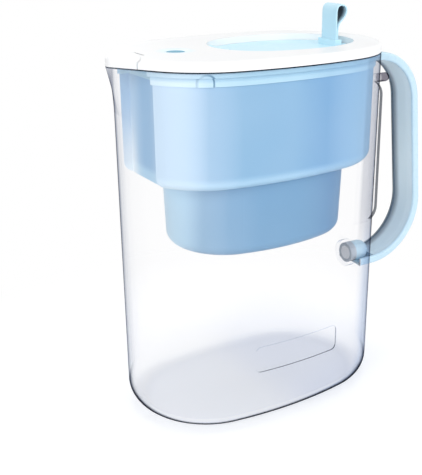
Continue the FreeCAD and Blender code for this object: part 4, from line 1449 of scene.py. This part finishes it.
@dataclass
class Studio:
    """White studio: floor, soft boxes, sky and the camera at the photograph's view."""

    ambient: float = 0.5
    floor_radius: float = 4.0
    floor_z: float = -0.0006
    floor_rows: int = 24
    floor_columns: int = 64
    first_ring: float = 0.02
    near_floor: float = 0.11
    far_floor: float = 0.28
    lift: float = 0.25
    paper: tuple[Colour, Colour] = ((0.86, 0.86, 0.87), (0.88, 0.88, 0.89))
    paper_grain: float = 0.002
    lamps: tuple[Lamp, ...] = (
        Lamp("left_box", (-0.95, -0.75, 0.6), size=0.8, power=6.0),
        Lamp("front_box", (0.2, -1.25, 0.6), size=0.9, power=6.0),
        Lamp("top_box", (0.05, 0.1, 1.35), size=1.1, power=4.5),
        Lamp("right_box", (1.0, -0.6, 0.5), size=0.7, power=2.0),
        Lamp("back_box", (0.1, 1.3, 0.8), size=0.9, power=2.0))
    eye: Point = (-0.31505, -0.48895, 0.33211)
    yaw: float = 0.5656
    pitch: float = 0.3252
    focal_pixels: float = 850.54
    image: tuple[int, int] = (422, 475)
    offset_pixels: Range = (33.9, 28.23)
    sensor: float = 36.0
    clip_start: float = 0.01

    def white_for_view(self, shader: Shader) -> Socket:
        """Tell rays from the eye, direct or by way of gloss and glass, from the rest.

        Args:
            shader: Graph that the nodes go into.

        Returns:
            Socket that is 1 for them and 0 for the rest.
        """
        path = shader.add("LightPath").outputs
        seen = shader.math("MAXIMUM", path["Is Camera Ray"], path["Is Glossy Ray"])
        return shader.math("MAXIMUM", seen, path["Is Transmission Ray"])

    def sky(self) -> None:
        """White for the eye, softer for the light that it gives."""
        shader = Shader(bpy.data.worlds.new("studio"), "OutputWorld")
        strength = shader.spread(self.white_for_view(shader), 0.0, 1.0, self.ambient, 1.0)
        back = shader.add("Background", {"Color": (*WHITE, 1.0), "Strength": strength})
        bpy.context.scene.world = shader.finish(back)

    def floor_paper(self) -> bpy.types.Material:
        """Make pale paper that shows the shadow near the object and fades into the white behind it.

        Returns:
            The material.
        """
        shader = Shader.named("floor_paper")
        grain = shader.ramp(shader.noise(self.paper_grain), tuple(zip(NOISE_RANGE, self.paper)))
        paper = shader.add("BsdfDiffuse", {"Color": grain})
        seen = self.white_for_view(shader)
        lift = shader.spread(seen, 0.0, 1.0, 0.0, self.lift)
        glow, white = (shader.add("Emission", {"Color": (*WHITE, 1.0), "Strength": power})
                       for power in (lift, 1.0))
        near = shader.add("AddShader", {0: paper.outputs[0], 1: glow.outputs[0]})
        far = shader.spread(shader.vector("LENGTH", shader.place()), self.near_floor, self.far_floor)
        return shader.finish(shader.mixed(shader.product(far, seen), near, white))

    def floor(self) -> None:
        """Make the floor: a disc of rings and spokes, the rings closer together towards the middle."""
        rings = self.floor_radius * np.linspace(1.0, self.first_ring, self.floor_rows) ** 2
        grid = Grid(turned(rings, np.full(self.floor_rows, self.floor_z), self.floor_columns), end=Cap.FAN)
        mesh = bpy.data.meshes.new("floor")
        mesh.from_pydata(grid.points.reshape(-1, 3).tolist(), [], grid.faces(0))
        mesh.materials.append(self.floor_paper())
        floor = bpy.data.objects.new("floor", mesh)
        bpy.context.scene.collection.objects.link(floor)

    def camera(self) -> None:
        """Make the camera; its lens and shift come from the focal length and principal point in pixels."""
        wide = max(self.image)
        data = bpy.data.cameras.new("camera")
        data.sensor_width = self.sensor
        data.lens = self.focal_pixels * self.sensor / wide
        data.shift_x, data.shift_y = (-offset / wide for offset in self.offset_pixels)
        data.clip_start = self.clip_start
        data.dof.use_dof = False
        camera = bpy.data.objects.new("camera", data)
        right = Vector((math.cos(self.yaw), -math.sin(self.yaw), 0.0))
        level = Vector((math.sin(self.yaw), math.cos(self.yaw), 0.0))
        ahead = level * math.cos(self.pitch) - Vector((0.0, 0.0, math.sin(self.pitch)))
        turn = Matrix((right, right.cross(ahead), -ahead)).transposed()
        camera.matrix_world = Matrix.Translation(self.eye) @ turn.to_4x4()
        bpy.context.scene.collection.objects.link(camera)
        bpy.context.scene.camera = camera

    def build(self) -> None:
        """Make the whole studio."""
        bpy.context.scene.view_settings.view_transform = "Standard"
        self.sky()
        self.floor()
        for lamp in self.lamps:
            lamp.build()
        self.camera()


def main() -> None:
    """Build every sub-assembly in order, then the studio."""
    logging.basicConfig(level=logging.INFO, format="%(name)s %(message)s")
    for part in (Jug(), Hopper(), Cartridge(), Lid(), RefillFlap(), Indicator(), Studio()):
        part.build()
        LOG.info("%s done", type(part).__name__)


if __name__ == "__main__":
    main()
